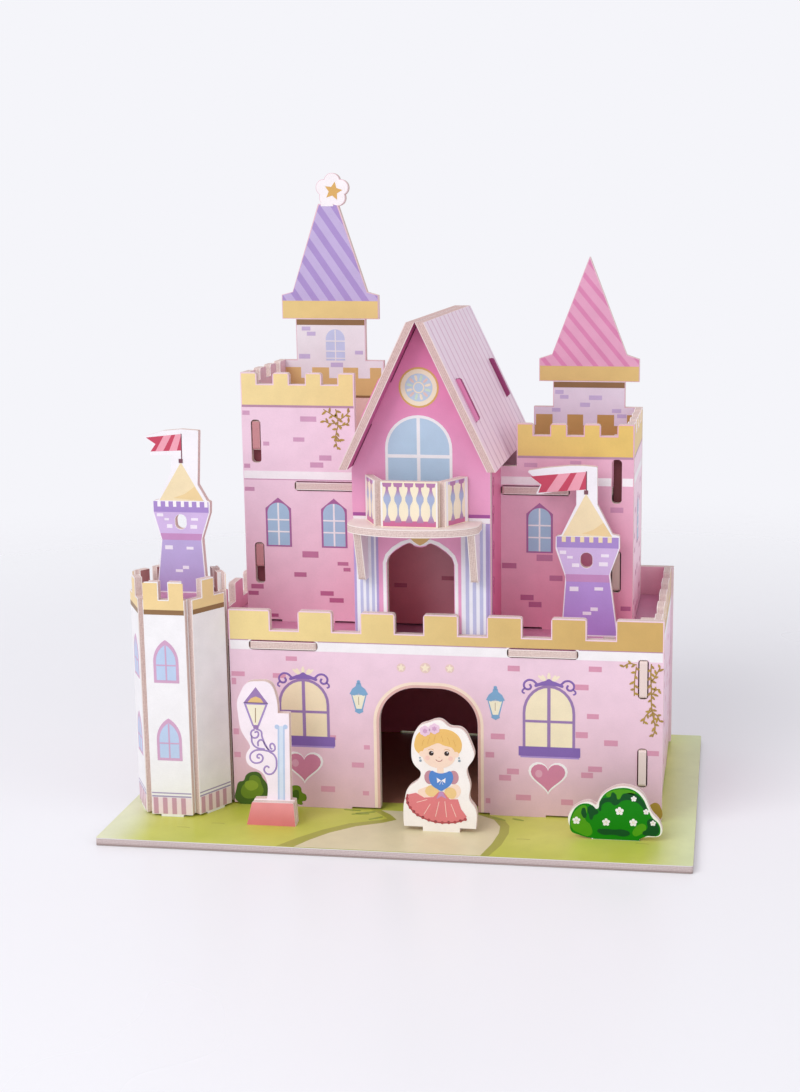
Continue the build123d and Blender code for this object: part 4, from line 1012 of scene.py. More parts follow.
def turret_print(x, body, neck, band, gold_top, flare_top, cone, shoulder, tip, tip_width, stripes):
    """A turret's print: brown line, gold band and the striped roof."""
    left, right = x - band / 2 + 0.3, x + band / 2 - 0.3
    return [
        area("gold_band", 2, block(left, right, neck + 0.3, gold_top)),
        area("brown_line", 3, block(x - body / 2 + 0.3, x + body / 2 - 0.3, neck - 2.6, neck - 0.2)),
        area(stripes, 2, [(left, gold_top), (right, gold_top), (right, flare_top - 0.2),
            (x + cone / 2 - 0.2, shoulder - 0.2), (x + tip_width / 2, tip - 0.5),
            (x - tip_width / 2, tip - 0.5), (x - cone / 2 + 0.2, shoulder - 0.2), (left, flare_top - 0.2)])]


def printed_merlons(spans, low, notch, top, left, right):
    """Battlements that are printed, not cut."""
    outline = [(right, low)]
    for start, end in reversed(spans):
        outline += [(end, notch), (end, top), (start, top), (start, notch)]
    if outline[1][0] < right - 0.01:
        outline.insert(1, (right, notch))
    return outline + [(left, notch), (left, low)]


def upper_rear_print():
    """Both faces of the upper rear wall: turrets, printed battlements and, behind, towers and gable."""
    left_merlons = [(-71.4, -62.5), (-57.6, -50.1), (-43.9, -37.3), (-32.1, -27.2)]
    right_merlons = [(39.9, 47.0), (53.3, 60.1), (66.1, 73.3), (78.8, 84.6)]
    belt = (-80, 90, 126, 135)
    common = turret_print(-49.0, 30.4, 190.0, 42.2, 197.7, 200.2, 32.6, 201.5, 238.5, 7.6, "cone_lilac")
    common += turret_print(62.6, 30.7, 164.4, 42.6, 170.9, 174.0, 31.8, 175.8, 216.2, 0.1, "cone_pink")
    common += [
        area("wall_pale", 1, [(-72.0, 156.5), (-26.3, 156.5), (-26.3, 172.1), (-34.1, 172.1),
            (-34.1, 190.0), (-63.9, 190.0), (-63.9, 172.1), (-72.0, 172.1)]),
        area("wall_lilac", 1, [(39.3, 140.5), (85.0, 140.5), (85.0, 153.3), (77.6, 153.3), (77.6, 164.4),
            (47.6, 164.4), (47.6, 153.3), (39.3, 153.3)]),
        area("gold_deep", 2, printed_merlons(left_merlons, 157.1, 164.6, 169.2, -72.0, -26.3)),
        area("brown_line", 3, block(-72.0, -26.3, 156.2, 157.2)),
        area("gold_deep", 2, printed_merlons(right_merlons, 141.2, 145.6, 150.3, 39.4, 85.0)),
        area("brown_line", 3, block(39.4, 85.0, 140.3, 141.3)),
        bricks("brick_lilac", TURRET_BRICKS, 2),
        area("pane_lavender", 2, arch(-51.2, -42.9, 172.2, 181.4, 185.6)),
        area("bar_white", 3, block(-47.3, -46.8, 172.2, 185.4))]
    common += [
        area("bar_white", 4, block(-51.2, -42.9, *bar))
        for bar in ((180.3, 180.8), (176.0, 176.5), (173.0, 173.4))]
    common += knob_print(-47.0, 244.1)
    # The inner face of the left tower's rear wall below its battlements is tinted peach: painted shade, the
    # warm tone that wall takes in shadow.
    front = common + [area("peach_painted_shade", 1, block(-72.0, -26.3, 131.0, 156.4))]
    print_face("upper_rear_wall_inner_print", face_place("upper_rear_wall", FRONT), front)
    rear = common + [
        area("magenta", 2, [(-20.4, 71.0), (32.0, 71.0), (32.0, 137.6), (5.8, 193.2), (-20.4, 137.6)]),
        bricks("brick_rose", scattered_bricks(21, -70, -24, 76, 150, 12, [belt, (-60, -38, 98, 125)])),
        bricks("brick_rose", scattered_bricks(22, 36, 84, 76, 136, 10, [belt, (48, 70, 98, 125)])),
        area("wall_pale", 1, block(-72.0, -21.2, 129.4, 132.6)),
        area("wall_pale", 1, block(32.8, 85.0, 129.4, 132.6))]
    rear += pointed_window(-54.3, -43.7, *UPPER_WINDOW) + pointed_window(53.7, 64.3, *UPPER_WINDOW)
    rear += rose_window(5.8, 170.2, 3)
    rear += arched_gable_window(-7.2, 18.8, 134.0, 147.0, 159.8, 144.1, 3)
    print_face("upper_rear_wall_print", face_place("upper_rear_wall", REAR), rear)


TURRET_BRICKS = [(-61.7, 185.0, 3.8, 1.7), (-59.5, 182.8, 3.8, 1.7), (-63.2, 172.9, 4.9, 2.0),
    (-38.5, 174.9, 3.5, 1.6), (-49.3, 169.4, 5.4, 1.9), (48.1, 159.0, 3.6, 1.7), (50.2, 157.0, 3.6, 1.6),
    (62.6, 156.6, 5.5, 1.9), (58.8, 153.6, 4.2, 1.8), (46.8, 151.4, 3.6, 1.6), (72.4, 151.2, 3.9, 1.6),
    (74.6, 149.0, 3.9, 1.6)]


def knob_print(x, z):
    """The flower knob: pale petals edged in cream and a gold star."""
    return [
        area("belt_white", 3, petals_outline(x, z, 3.8, 3.2, 3.4)),
        area("belt_white", 4, [(x - 4.6, z - 3.6), (x + 0.2, z - 3.6), (x + 0.4, z - 6.6),
            (x - 5.0, z - 6.6)]),
        area("gold_thin", 5, star(x + 0.5, z - 0.3, 4.0, 1.9, turn=78))]


ROSE_PETAL = ((2.5, 0.25), (3.4, 0.5), (4.7, 0.45), (4.7, -0.45), (3.4, -0.5), (2.5, -0.25))


def rose_window(x, z, layer=2):
    """A round window: gold and white rings round twelve petals."""
    shapes = [
        area("gold_thin", layer, disc(x, z, 7.7)),
        area("star_cream", layer + 1, disc(x, z, 7.0)),
        area("rose_glass", layer + 2, disc(x, z, 5.3))]
    for k in range(12):
        turn = 30 * k + 15
        c, s = math.cos(math.radians(turn)), math.sin(math.radians(turn))
        petal = [(x + c * along - s * wide, z + s * along + c * wide) for along, wide in ROSE_PETAL]
        shapes.append(area(("star_cream", "ring_pink", "pane_mint")[k % 3], layer + 3, petal))
    shapes += [
        area("star_cream", layer + 3, disc(x, z, 2.2)),
        area("rose_glass", layer + 4, disc(x, z, 1.7))]
    return shapes


def arched_gable_window(x0, x1, foot, spring, top, rail, layer=2):
    """The gable's round-headed window with its white cross."""
    middle = (x0 + x1) / 2
    return [
        area("bar_white", layer, arch(x0, x1, foot, spring, top, 20)),
        area("pane_blue", layer + 1, arch(x0 + FRAME, x1 - FRAME, foot + 0.8, spring, top - FRAME, 20)),
        area("bar_white", layer + 2, block(middle - HALF_BAR, middle + HALF_BAR, foot + 0.8, top - 0.8)),
        area("bar_white", layer + 3, block(x0 + 0.8, x1 - 0.8, rail - HALF_BAR, rail + HALF_BAR))]


def gable_print():
    """The gable's front: round and arched windows, a violet rule, striped columns, the doorway's border."""
    shapes = rose_window(5.5, 170.3) + arched_gable_window(-7.8, 18.1, 121.9, 147.0, 159.8, 144.1)
    shapes += [
        area("magenta_line", 2, block(-20.8, 32.4, 120.7, 122.0)),
        area("wall_pale", 2, block(-20.8, 32.4, 118.6, 120.6))]
    edge = 0.9
    for x0, x1 in ((-20.8, -11.2), (20.2, 31.6)):
        foot, width = x0 + edge, x1 - x0 - edge
        shapes.append(area("column_white", 1, block(foot, x1, *COLUMN)))
        shapes += [
            area("column_blue", 2, block(foot + share * width, foot + (share + 0.13) * width, *COLUMN))
            for share in (0.16, 0.42, 0.68)]
        shapes.append(area("column_purple", 2, block(x1 - edge, x1, *COLUMN)))
    shapes += [area("column_purple", 2, block(x, x + edge, *COLUMN)) for x in (-20.8, 31.5)]
    inner = [(13.4, 71.2), (13.4, 102.2), (12.5, 104.9), (10.2, 107.3), (7.0, 109.5), (4.0, 110.6),
        (2.4, 109.7), (0.0, 109.2)]
    grown = [(14.7, 71.2), (14.7, 102.5), (13.6, 105.8), (11.0, 108.6), (7.5, 110.9), (4.0, 112.0),
        (2.2, 111.3), (0.0, 110.8)]
    centre = 5.2
    border = [(centre + u, z) for u, z in grown] + [(centre - u, z) for u, z in reversed(grown[:-1])]
    border += [(centre - u, z) for u, z in inner] + [(centre + u, z) for u, z in reversed(inner[:-1])]
    shapes += [
        area("bar_white", 2, border),
        area("gold_deep", 3, [(0.9, 113.0), (9.5, 113.0), (8.0, 111.2), (6.6, 110.2), (5.2, 109.5),
            (3.8, 110.2), (2.4, 111.2)])]
    print_face("gable_front_print", face_place("gable_front", FRONT), shapes)
    for name, outward in (("gable_left_return", LEFT), ("gable_right_return", RIGHT)):
        scrolls = [area("magenta_line", 1, block(-26.6, -25.4, 71.5, 138.0))]
        for z in SIDE_SCROLLS:
            hook = [
                (-22.6, z + 4.4), (-20.6, z + 2.4), (-22.2, z + 0.6), (-23.8, z + 1.8), (-22.8, z + 3.0)]
            scrolls += [
                stroke("brick_wine", 2, hook, 0.8),
                soft("brick_wine", 2, leaf(-22.4, z + 0.4, 3.4, 1.6, 280))]
        print_face(name + "_print", face_place(name, outward), scrolls)


def vase(u, top=136.3):
    """The violet gap between two printed balusters."""
    profile = [(1.8, 0.0), (1.5, 1.4), (0.5, 1.6), (0.45, 2.6), (0.85, 4.1), (1.4, 5.5), (1.35, 6.8),
        (0.5, 8.4), (0.25, 10.0), (0.3, 12.1), (0.75, 13.2), (1.2, 14.4), (1.35, 15.0)]
    return [(u + a, top - b) for a, b in profile] + [(u - a, top - b) for a, b in reversed(profile)]


def railing_print():
    """The balcony railing's three panels: cream balusters left between violet gaps, a magenta foot band."""
    turn = math.radians(RAIL_TURN)
    front = place_on(Vector((RAIL_MIDDLE, RAIL_FACE, 0)), Vector(RIGHT), Vector(UP), Vector(FRONT))
    shapes = [
        area("vase_violet", 2, *[vase(-8.3 + 4.15 * k) for k in range(5)]),
        area("rail_magenta", 1, block(-10.0, 10.1, 119.8, 121.9)),
        area("paper_white", 1, block(-10.7, -10.1, 119.8, 136.6), block(10.2, 10.7, 119.8, 136.6))]
    print_face("railing_front_print", front, shapes)
    for name, side in (("railing_left_print", -1), ("railing_right_print", 1)):
        out = Vector((side * math.sin(turn), -math.cos(turn), 0))
        along = Vector((side * math.cos(turn), math.sin(turn), 0))
        start = Vector((RAIL_MIDDLE + side * RAIL_PANEL / 2, RAIL_FOLD, 0)) + out * BOARD
        shapes = [
            area("vase_violet", 2, vase(4.7), vase(10.2)),
            area("rail_magenta", 1, block(1.8, 12.4, 119.8, 121.7)),
            area("brick_lilac", 1, block(1.8, 12.4, 135.4, 136.5)),
            area("paper_white", 1, block(0.4, 1.6, 119.8, 136.8), block(12.6, 14.2, 119.8, 136.8))]
        print_face(name, place_on(start, along, Vector(UP), out), shapes)


def corner_tower_print():
    """The corner tower's facets: gold battlements, brown line, pointed windows and a striped skirt."""
    half = HEX_SIDE / 2 - 0.25
    stripe = 2 * half / 8.6
    stripes = [(-half + k * 2 * stripe + 0.3 * stripe, -half + (k * 2 + 1) * stripe + 0.3 * stripe)
        for k in range(4)]
    for number, turn in enumerate((270, 330, 30, 90, 150, 210)):
        out = Vector((math.cos(math.radians(turn)), math.sin(math.radians(turn)), 0))
        along = Vector((-out.y, out.x, 0))
        place = place_on(Vector(HEX_CENTRE) + out * (HEX_APOTHEM + BOARD), along, Vector(UP), out)
        step, side, middle = (2.8, HEX_NOTCH, HEX_TOP) if number % 2 else (2.2, HEX_TOP, HEX_NOTCH)
        gold = [(half, HEX_GOLD), (half, side), (step, side), (step, middle), (-step, middle),
            (-step, side), (-half, side), (-half, HEX_GOLD)]
        shapes = [
            area("gold_pale", 1, gold),
            area("brown_line", 2, block(-half, half, 84.2, 86.1)),
            area("mauve_rule", 1, block(-half, half, 12.3, 12.8), block(-half, half, 10.9, 11.5)),
            area("skirt_pale", 1, block(-half, half, *SKIRT)),
            area("mauve_stripe", 2, *[block(x0, x1, *SKIRT) for x0, x1 in stripes])]
        if turn in (270, 210, 150, 90):
            for foot in (57.2, 25.9):
                shapes += [
                    area("pink_frame", 2, pointed_arch(-5.0, 5.0, foot, foot + 8.4, foot + 17.1)),
                    area("pane_pale", 3, pointed_arch(-3.9, 3.9, foot + 1.1, foot + 8.4, foot + 15.2)),
                    area("pink_frame", 4, block(-0.3, 0.3, foot + 1.1, foot + 15.0)),
                    area("pink_frame", 5, block(-3.8, 3.8, foot + 6.8, foot + 7.3))]
        print_face("corner_tower_print_%d" % (number + 1), place, shapes)


CONE_SHADE = ((-12.0, 1.0), (-7.5, 2.6), (-3.45, 5.5))
PENNANT_BANDS = (((0.0, 0.17), (0.15, 0.4)), ((0.28, 0.5), (0.59, 0.84)))


def small_tower_print(name, place, body, waist, crown, gaps, cone, flag, whites, window, staff):
    """A small tower card's print, given from its foot's middle: body, waist, crown, roof and pennant."""
    x, z = place

    def moved(points):
        return [(x + u, z + v) for u, v in points]

    u0, u1, low, high = crown
    first, pitch, wide, count, gap_ink, body_ink = gaps
    notches = [
        moved(block(u0 + first + pitch * k, u0 + first + pitch * k + wide, high - 2.1, high + 0.05))
        for k in range(count)]
    near, tip = cone[1:]
    shade = [near] + [(near[0] + u, near[1] + v) for u, v in CONE_SHADE]
    hole = window_opening(x + window[0], z + window[1], window[2], window[3])
    shapes = [
        area(body_ink, 1, moved(body)),
        area("tower_waist", 1, moved(waist)),
        area("tower_lilac", 1, moved([waist[3], waist[2], (u1, low), (u0, low)]), hole),
        area("tower_crown", 2, moved(block(u0, u1, low, high))),
        area(gap_ink, 3, *notches),
        area("cone_cream", 1, moved(cone)),
        area("cone_shade", 2, moved(shade)),
        bricks("brick_white", [(x + u, z + v, w, h) for u, v, w, h in whites], 3),
        area("flag_red", 1, moved(flag))]
    right_top, right_low, left_low, _, left_top = flag
    for upper, lower in PENNANT_BANDS:
        band = [between(right_top, left_top, s) for s in upper]
        band += [between(right_low, left_low, s) for s in reversed(lower)]
        shapes.append(area("flag_pink", 2, moved(band)))
    shapes += [
        stroke("dark_knob", 3, moved(staff), 0.45, smooth=False),
        area("dark_knob", 4, moved(block(tip[0] - 0.8, tip[0] + 0.8, tip[1] - 0.3, tip[1] + 1.3)))]
    print_face(name + "_print", face_place(name, FRONT), shapes)


def between(start, end, share):
    """The point a share of the way from start to end."""
    return tuple(a + (b - a) * share for a, b in zip(start, end))


def window_opening(x, z, width, height, steps=20):
    """The outline left open round a card's cut window."""
    half, rise = width / 2 + 0.15, (height - width) / 2
    turns = [2 * math.pi * (k + 0.5) / steps for k in range(steps)]
    return [
        (x + half * math.cos(t), z + math.copysign(rise, math.sin(t)) + half * math.sin(t))
        for t in turns]


def small_towers_print():
    """Both small tower cards."""
    small_tower_print(
        "small_tower_right", (68.8, 70.5),
        body=[(-10.7, 0.5), (10.9, 0.5), (8.0, 21.9), (-9.2, 21.9)],
        waist=[(-9.2, 21.9), (8.0, 21.9), (7.65, 24.9), (-9.5, 24.9)],
        crown=(-12.95, 11.35, 35.6, 39.9),
        gaps=(2.0, 3.6, 1.6, 6, "cone_cream", "tower_purple"),
        cone=[(-10.6, 40.2), (8.8, 40.2), (-1.5, 57.1)],
        flag=[(-1.5, 65.7), (-1.4, 58.7), (-20.2, 57.1), (-19.0, 60.3), (-23.2, 63.5)],
        whites=[(-11.8, 32.9, 2.6, 1.4), (-8.8, 31.2, 2.2, 1.0), (-6.9, 27.8, 2.9, 1.5),
                (4.5, 32.0, 3.1, 1.2), (3.7, 28.4, 3.5, 1.6), (-7.8, 18.1, 3.5, 1.8),
                (2.0, 18.6, 3.4, 1.3), (0.5, 10.3, 2.9, 1.4), (-2.6, 8.6, 3.4, 1.3)],
        window=(-1.2, 30.6, 4.8, 6.2),
        staff=[(-1.4, 65.9), (-1.4, 57.5)])
    small_tower_print(
        "small_tower_left", (-89.0, 89.0),
        body=[(-9.75, 0.5), (9.5, 0.5), (8.45, 21.0), (-7.2, 21.0)],
        waist=[(-7.2, 21.0), (8.45, 21.0), (9.0, 23.6), (-7.9, 23.6)],
        crown=(-10.15, 11.85, 32.0, 36.2),
        gaps=(1.6, 3.13, 1.3, 7, "belt_white", "tower_violet"),
        cone=[(-7.7, 36.5), (10.0, 36.6), (1.5, 51.6)],
        flag=[(2.2, 62.6), (2.0, 56.2), (-10.4, 55.6), (-8.3, 58.5), (-12.0, 61.0)],
        whites=[(-9.0, 30.2, 2.6, 1.2), (-6.0, 28.7, 1.8, 0.9), (-5.1, 25.7, 2.2, 1.5),
                (4.7, 28.8, 2.8, 1.0), (4.3, 25.6, 2.7, 1.5), (-6.2, 17.2, 3.1, 1.6),
                (2.4, 17.3, 2.8, 1.1), (0.6, 9.5, 2.5, 1.3), (-2.3, 8.2, 2.9, 1.1)],
        window=(0.5, 28.2, 4.5, 5.8),
        staff=[(2.1, 62.7), (1.9, 52.5)])


LAMP_SCROLLS = (
    [(-56.0, 40.5), (-57.3, 39.7), (-57.3, 37.7), (-56.1, 37.1), (-54.7, 38.1), (-55.0, 39.6),
     (-56.1, 39.3)],
    [(-55.5, 40.7), (-53.6, 39.9), (-53.2, 37.7), (-51.8, 34.2), (-50.4, 32.3), (-48.7, 32.3),
     (-48.4, 34.3), (-49.5, 35.1), (-50.1, 33.5), (-49.4, 32.8)],
    [(-57.3, 38.0), (-57.1, 35.0), (-55.5, 33.3), (-52.3, 32.7)],
    [(-54.9, 33.8), (-54.7, 35.8), (-53.4, 36.4), (-52.0, 34.2), (-50.7, 32.5)],
    [(-50.8, 32.0), (-53.8, 32.4), (-56.8, 31.7), (-58.2, 29.6), (-57.4, 27.5), (-55.1, 27.1),
     (-53.3, 28.4), (-53.5, 30.1), (-54.9, 30.5), (-55.3, 29.3), (-54.4, 29.1)],
    [(-50.8, 32.0), (-48.5, 30.3), (-47.8, 27.3), (-48.7, 24.0), (-50.6, 22.7), (-52.4, 23.4),
     (-52.7, 25.0), (-51.6, 25.9), (-50.7, 25.3)])


def lamp_print():
    """The street lamp card: a violet lantern on scrollwork and a pale blue post, its foot plain coral."""
    shapes = [
        area("purple_frame", 1, [(-55.1, 57.4), (-50.4, 51.0), (-60.1, 51.0)]),
        area("gold_deep", 2, [(-58.4, 51.3), (-57.1, 52.9), (-55.1, 53.7), (-53.2, 52.9), (-52.2, 51.3)]),
        area("scroll_violet", 1, [(-60.1, 51.2), (-50.4, 51.2), (-54.2, 41.8), (-56.9, 41.8)]),
        area("lantern_cream", 2, [(-59.0, 50.4), (-51.5, 50.4), (-54.8, 42.3), (-56.3, 42.3)]),
        stroke("brown_line", 3, [(-55.4, 49.1), (-55.6, 43.3)], 0.5, smooth=False),
        area("purple_frame", 3, [(-56.7, 42.3), (-54.3, 42.3), (-54.6, 40.7), (-56.4, 40.7)])]
    shapes += [stroke("scroll_violet", 3, run, 0.7) for run in LAMP_SCROLLS]
    shapes += [
        area("post_blue", 1, [(-46.9, 42.2), (-44.2, 42.2), (-44.9, 12.6), (-47.7, 12.6)]),
        area("post_line", 2,
             [(-46.9, 42.2), (-46.3, 42.2), (-47.1, 12.6), (-47.7, 12.6)],
             [(-44.8, 42.2), (-44.2, 42.2), (-44.9, 12.6), (-45.5, 12.6)]),
        area("post_line", 3, disc(-47.2, 41.9, 0.9), disc(-43.9, 42.0, 0.9))]
    print_face("lamp_post_print", face_place("lamp_post", FRONT), shapes)


def doll_print():
    """A generic doll: gold hair with two paper roses, a plain smiling face, blue bodice, coral skirt."""
    shapes = [
        soft("hair_gold", 1, [(6.5, 36.2), (6.7, 39.4), (8.0, 42.0), (10.9, 43.6), (15.2, 43.9),
            (19.5, 43.8), (22.4, 42.4), (24.2, 40.0), (24.6, 37.0), (23.8, 34.9), (22.0, 33.6),
            (15.8, 33.0), (9.6, 33.2), (7.6, 34.4)]),
        area("skin", 2, disc(9.3, 33.9, 1.1), disc(22.4, 34.1, 1.1)),
        area("skin", 3, disc(15.8, 33.6, 6.4, squash=0.8)),
        soft("hair_gold", 4, [(8.0, 35.2), (8.4, 39.6), (15.8, 42.2), (23.2, 39.8), (23.8, 35.6),
            (22.4, 36.2), (20.2, 37.0), (17.6, 37.6), (15.6, 38.4), (13.6, 37.7), (11.4, 36.6),
            (9.4, 35.8)])]
    for u, v, du, dv in (
            (9.4, 37.2, 0.9, 2.6), (11.6, 37.9, 0.9, 2.9), (14.0, 38.8, 0.6, 2.6),
            (17.4, 38.8, -0.6, 2.6), (20.0, 38.0, -0.9, 2.8), (22.2, 37.2, -0.9, 2.6)):
        lock = [(u, v), (u + 0.3 * du, v + 0.5 * dv), (u + du, v + dv)]
        shapes.append(stroke("hair_shade", 5, lock, 0.24))
    shapes += [
        area("eye_brown", 5, disc(12.9, 34.3, 0.92), disc(18.8, 34.4, 0.92)),
        area("paper_white", 6, disc(13.2, 34.7, 0.22, 12), disc(19.1, 34.8, 0.22, 12)),
        stroke("hair_shade", 5, [(11.7, 35.6), (12.8, 35.95), (13.9, 35.6)], 0.28),
        stroke("hair_shade", 5, [(17.8, 35.7), (18.8, 36.05), (20.0, 35.7)], 0.28),
        area("cheek", 4, disc(11.4, 32.4, 0.9), disc(20.3, 32.5, 0.9)),
        stroke("skin_shade", 4, [(15.5, 33.0), (15.9, 32.7), (16.3, 33.0)], 0.28),
        stroke("mouth_red", 4, [(14.6, 31.9), (15.2, 31.35), (15.9, 31.2), (16.6, 31.4), (17.1, 31.95)],
            0.42),
        area("skin", 1, [(15.1, 30.6), (17.5, 30.6), (17.6, 26.0), (15.0, 26.0)]),
        area("bead_grey", 4, disc(8.5, 32.3, 0.35, 10), disc(23.5, 32.8, 0.35, 10)),
        area("bead_grey", 4, disc(8.7, 31.2, 0.5, 12), disc(23.6, 31.7, 0.5, 12)),
        area("sleeve_rose", 2, disc(12.1, 24.7, 2.0, squash=1.35), disc(21.3, 25.0, 2.0, squash=1.35)),
        soft("skin", 2, [(15.0, 20.4), (12.6, 21.2), (9.7, 20.4), (7.5, 18.8), (9.4, 16.9), (13.1, 17.0),
            (15.5, 19.0)]),
        soft("skin", 2, [(17.7, 19.6), (19.8, 21.2), (22.4, 22.3), (24.0, 20.4), (23.2, 17.5), (20.8, 16.4),
            (18.6, 17.6)]),
        soft("glove_gold", 3, [(15.2, 20.2), (13.0, 21.6), (10.4, 19.6), (11.2, 17.6), (13.9, 17.2),
            (15.7, 18.8)]),
        soft("glove_gold", 3, [(17.9, 19.6), (19.9, 21.0), (22.2, 19.6), (21.6, 16.9), (19.8, 16.6),
            (18.4, 17.8)]),
        area("dress_coral", 4, [(15.7, 19.2), (17.3, 19.2), (19.8, 16.2), (22.9, 16.4), (24.1, 12.6),
            (26.2, 9.7), (25.6, 8.1), (21.7, 7.0), (16.8, 6.6), (11.6, 7.4), (7.2, 9.4), (4.3, 12.4),
            (3.4, 14.4), (4.1, 17.6), (6.8, 18.3), (9.9, 16.5), (13.5, 16.9)]),
        area("dress_mauve", 5, [(15.9, 19.2), (17.1, 19.2), (18.6, 16.4), (16.6, 17.4), (14.7, 16.2)]),
        soft("dress_blue", 5, [(12.9, 27.3), (14.6, 26.7), (16.4, 26.4), (18.3, 26.8), (20.2, 27.4),
            (21.0, 26.2), (21.0, 23.8), (19.7, 21.6), (18.0, 20.3), (16.5, 19.5), (15.0, 20.2),
            (13.0, 21.6), (12.0, 23.8), (12.1, 26.2)])]
    hem = [(3.6, 17.6), (3.3, 15.9), (3.5, 14.2), (4.5, 12.3), (5.8, 10.7), (7.3, 9.5), (9.3, 8.5),
        (11.6, 7.6), (14.2, 7.0), (16.8, 6.8), (19.3, 6.9), (21.7, 7.2), (23.9, 7.8), (25.7, 8.5)]
    shapes.append(stroke("dress_hem", 5, hem, 0.8))
    shapes.append(area("dress_hem", 6, *[disc(u, v, 0.62, 10) for u, v in hem[1::2]]))
    shapes.append(area("dress_hem", 4, *[disc(u, v, 0.62, 10) for u, v in hem[2::2]]))
    folds = ([(11.1, 15.8), (7.0, 14.5)], [(12.3, 14.1), (9.8, 9.9)], [(15.7, 15.2), (14.2, 9.1)],
             [(17.9, 15.4), (18.5, 9.1)], [(20.3, 14.4), (22.2, 9.3)])
    shapes += [stroke("dress_fold", 6, fold, 0.36, smooth=False) for fold in folds]
    for u, v in ((10.6, 43.0), (14.2, 44.0)):
        shapes += [
            area("rose_pink", 6, petals_outline(u, v, 1.1, 1.0, 1.4, 6, 36)),
            area("rose_core", 7, star(u, v, 1.1, 0.7, 6))]
    shapes += [
        area("paper_white", 6,
             [(16.5, 23.7), (14.9, 24.7), (15.1, 22.6)], [(16.7, 23.7), (18.3, 24.7), (18.1, 22.6)]),
        stroke("paper_white", 6, [(16.6, 23.6), (16.0, 22.0)], 0.3, smooth=False),
        stroke("paper_white", 6, [(16.6, 23.6), (17.3, 22.0)], 0.3, smooth=False)]
    print_face("doll_figure_print", face_place("doll_figure", FRONT), shapes)


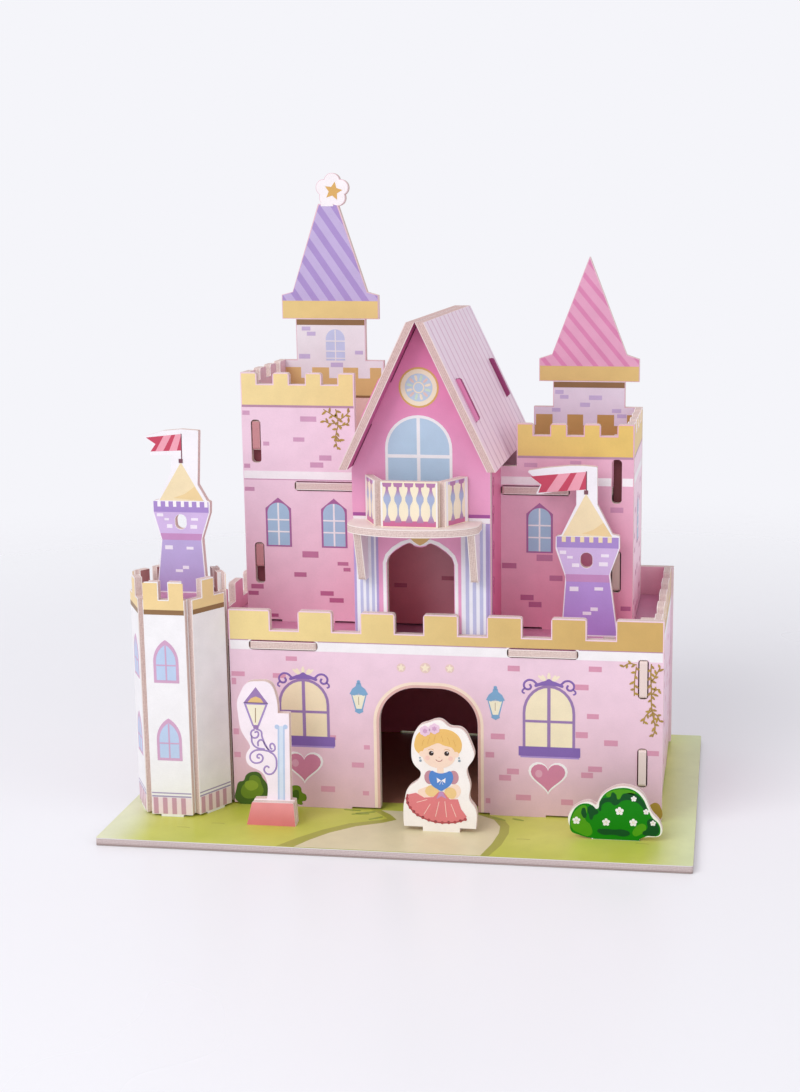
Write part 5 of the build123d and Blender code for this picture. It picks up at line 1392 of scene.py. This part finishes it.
def bush_print():
    """The flowering bush card: three greens and white five-petal flowers inside a white edge."""
    shapes = [
        soft("bush_mid", 1, [(65.6, 8.2), (66.3, 12.4), (68.6, 15.9), (71.7, 17.0), (74.1, 16.3),
            (75.8, 15.0), (76.9, 18.2), (79.6, 21.8), (84.3, 23.6), (89.2, 23.1), (92.7, 20.2),
            (94.9, 15.8), (96.6, 12.5), (99.0, 10.1), (99.7, 7.4), (99.0, 5.5), (95.3, 5.2), (91.1, 3.6),
            (86.0, 3.4), (73.7, 3.4), (68.5, 4.6), (66.3, 5.6)]),
        soft("bush_light", 2, [(66.3, 7.2), (66.6, 11.7), (68.6, 14.9), (71.2, 16.2), (72.1, 15.1),
            (71.5, 10.5), (73.3, 8.6), (73.6, 4.6), (68.9, 5.2)]),
        soft("bush_light", 2, [(79.2, 20.5), (81.7, 22.5), (84.8, 23.1), (88.6, 22.7), (90.2, 21.9),
            (85.7, 21.5), (83.7, 19.2), (82.9, 21.1), (81.6, 21.9), (80.6, 20.0)]),
        soft("bush_dark", 2, [(76.6, 15.6), (78.0, 19.2), (80.6, 19.8), (81.6, 21.6), (82.9, 20.9),
            (83.7, 19.0), (85.7, 21.2), (89.9, 21.6), (92.7, 19.4), (94.6, 15.6), (94.4, 13.6),
            (92.8, 16.4), (90.0, 18.5), (85.8, 18.8), (82.5, 16.7), (80.4, 17.9), (77.8, 16.7),
            (76.9, 14.2)]),
        soft("bush_dark", 3, [(72.3, 15.2), (73.8, 16.2), (75.5, 14.9), (76.4, 13.7), (74.7, 12.3),
            (73.6, 10.6), (72.8, 12.5)]),
        soft("bush_dark", 3, [(69.9, 13.8), (70.8, 15.3), (71.7, 13.9), (71.3, 11.2), (70.1, 12.4)]),
        soft("bush_dark", 3, [(76.0, 6.5), (78.4, 7.2), (82.2, 7.1), (85.9, 7.2), (88.3, 5.8), (86.9, 4.7),
            (82.2, 5.0), (77.0, 5.3)]),
        soft("bush_dark", 3, [(94.8, 11.1), (96.2, 12.0), (98.2, 10.3), (99.2, 7.9), (98.6, 5.9),
            (94.9, 5.3), (93.0, 6.1), (94.8, 8.1)]),
        area("bush_mid", 2, [(74.4, 3.08), (91.9, 3.08), (91.9, 4.2), (74.4, 4.2)]),
        soft("bush_light", 2, [(89.6, 5.2), (90.4, 8.4), (93.4, 9.8), (94.4, 8.0), (92.6, 5.8)])]
    turns = [math.radians(90 + 72 * k) for k in range(5)]
    for u, v, size in (
            (68.1, 10.1, 1.5), (79.3, 9.9, 1.5), (84.3, 14.5, 1.6), (89.5, 10.2, 1.5),
            (89.6, 19.6, 1.1), (94.3, 14.7, 1.1), (96.9, 10.3, 1.1)):
        centres = [(u + 0.62 * size * math.cos(t), v + 0.62 * size * math.sin(t)) for t in turns]
        shapes += [area("paper_white", 4, disc(*centre, 0.4 * size, 10)) for centre in centres]
        shapes.append(area("star_cream", 5, disc(u, v, 0.24 * size, 8)))
    print_face("bush_print", face_place("bush", FRONT), shapes)


def lawn_print():
    """The base board's path from the gate to the front edge, with its shaded rims and some grass."""
    left = [(-35.7, -74.6), (-31.5, -67.1), (-25.8, -59.3), (-17.2, -51.7), (-7.7, -46.9), (-3.0, -43.1),
        (-6.5, -38.0), (-11.0, -33.8)]
    right = [(27.6, -33.8), (34.5, -38.4), (37.9, -45.3), (38.4, -52.1), (37.2, -63.0), (34.6, -74.6)]
    rim_left = [(-42.4, -74.6), (-36.8, -66.0), (-29.1, -56.6), (-20.5, -49.0), (-9.0, -44.0),
        (-7.0, -42.0), (-11.4, -37.0), (-15.0, -33.8)]
    rim_right = [(32.0, -33.8), (38.0, -37.2), (41.4, -44.2), (42.1, -51.6), (40.9, -63.5), (37.7, -74.6)]
    rooms = [(-69.5, -25.0), (89.5, -25.0), (89.5, 62.5), (-80.5, 62.5), (-80.5, -14.5), (-69.5, -14.5)]
    shapes = [
        area("path_edge", 1, rim_left + rim_right),
        area("path_sand", 2, left + right),
        area("under_brown", 1, rooms)]
    for u, v, turn, length in (
            (-13.0, -35.6, 200, 8), (-15.0, -38.0, 190, 7), (-9.0, -40.6, 215, 6),
            (-19.0, -35.2, 175, 7), (33.6, -36.2, -25, 6), (41.5, -36.4, -20, 5)):
        shapes.append(soft("tuft", 3, leaf(u, v, length, 1.2, turn)))
    for u, v in ((48.4, -56.9), (93.2, -56.0), (-71.0, -55.0), (-83.0, -60.5)):
        shapes.append(stroke("path_edge", 1, [(u - 2.6, v), (u, v + 0.25), (u + 2.6, v)], 0.45))
    print_face("base_board_print", face_place("base_board", UP), shapes)


def all_prints():
    """Every printed face."""
    lawn_print()
    front_wall_print()
    lower_walls_print()
    upper_front_print()
    upper_sides_print()
    upper_rear_print()
    gable_print()
    railing_print()
    corner_tower_print()
    small_towers_print()
    lamp_print()
    doll_print()
    bush_print()


bpy.context.scene.view_settings.view_transform = "Standard"
photo_camera()
studio_lights()
studio_floor()
castle_cards()
all_prints()
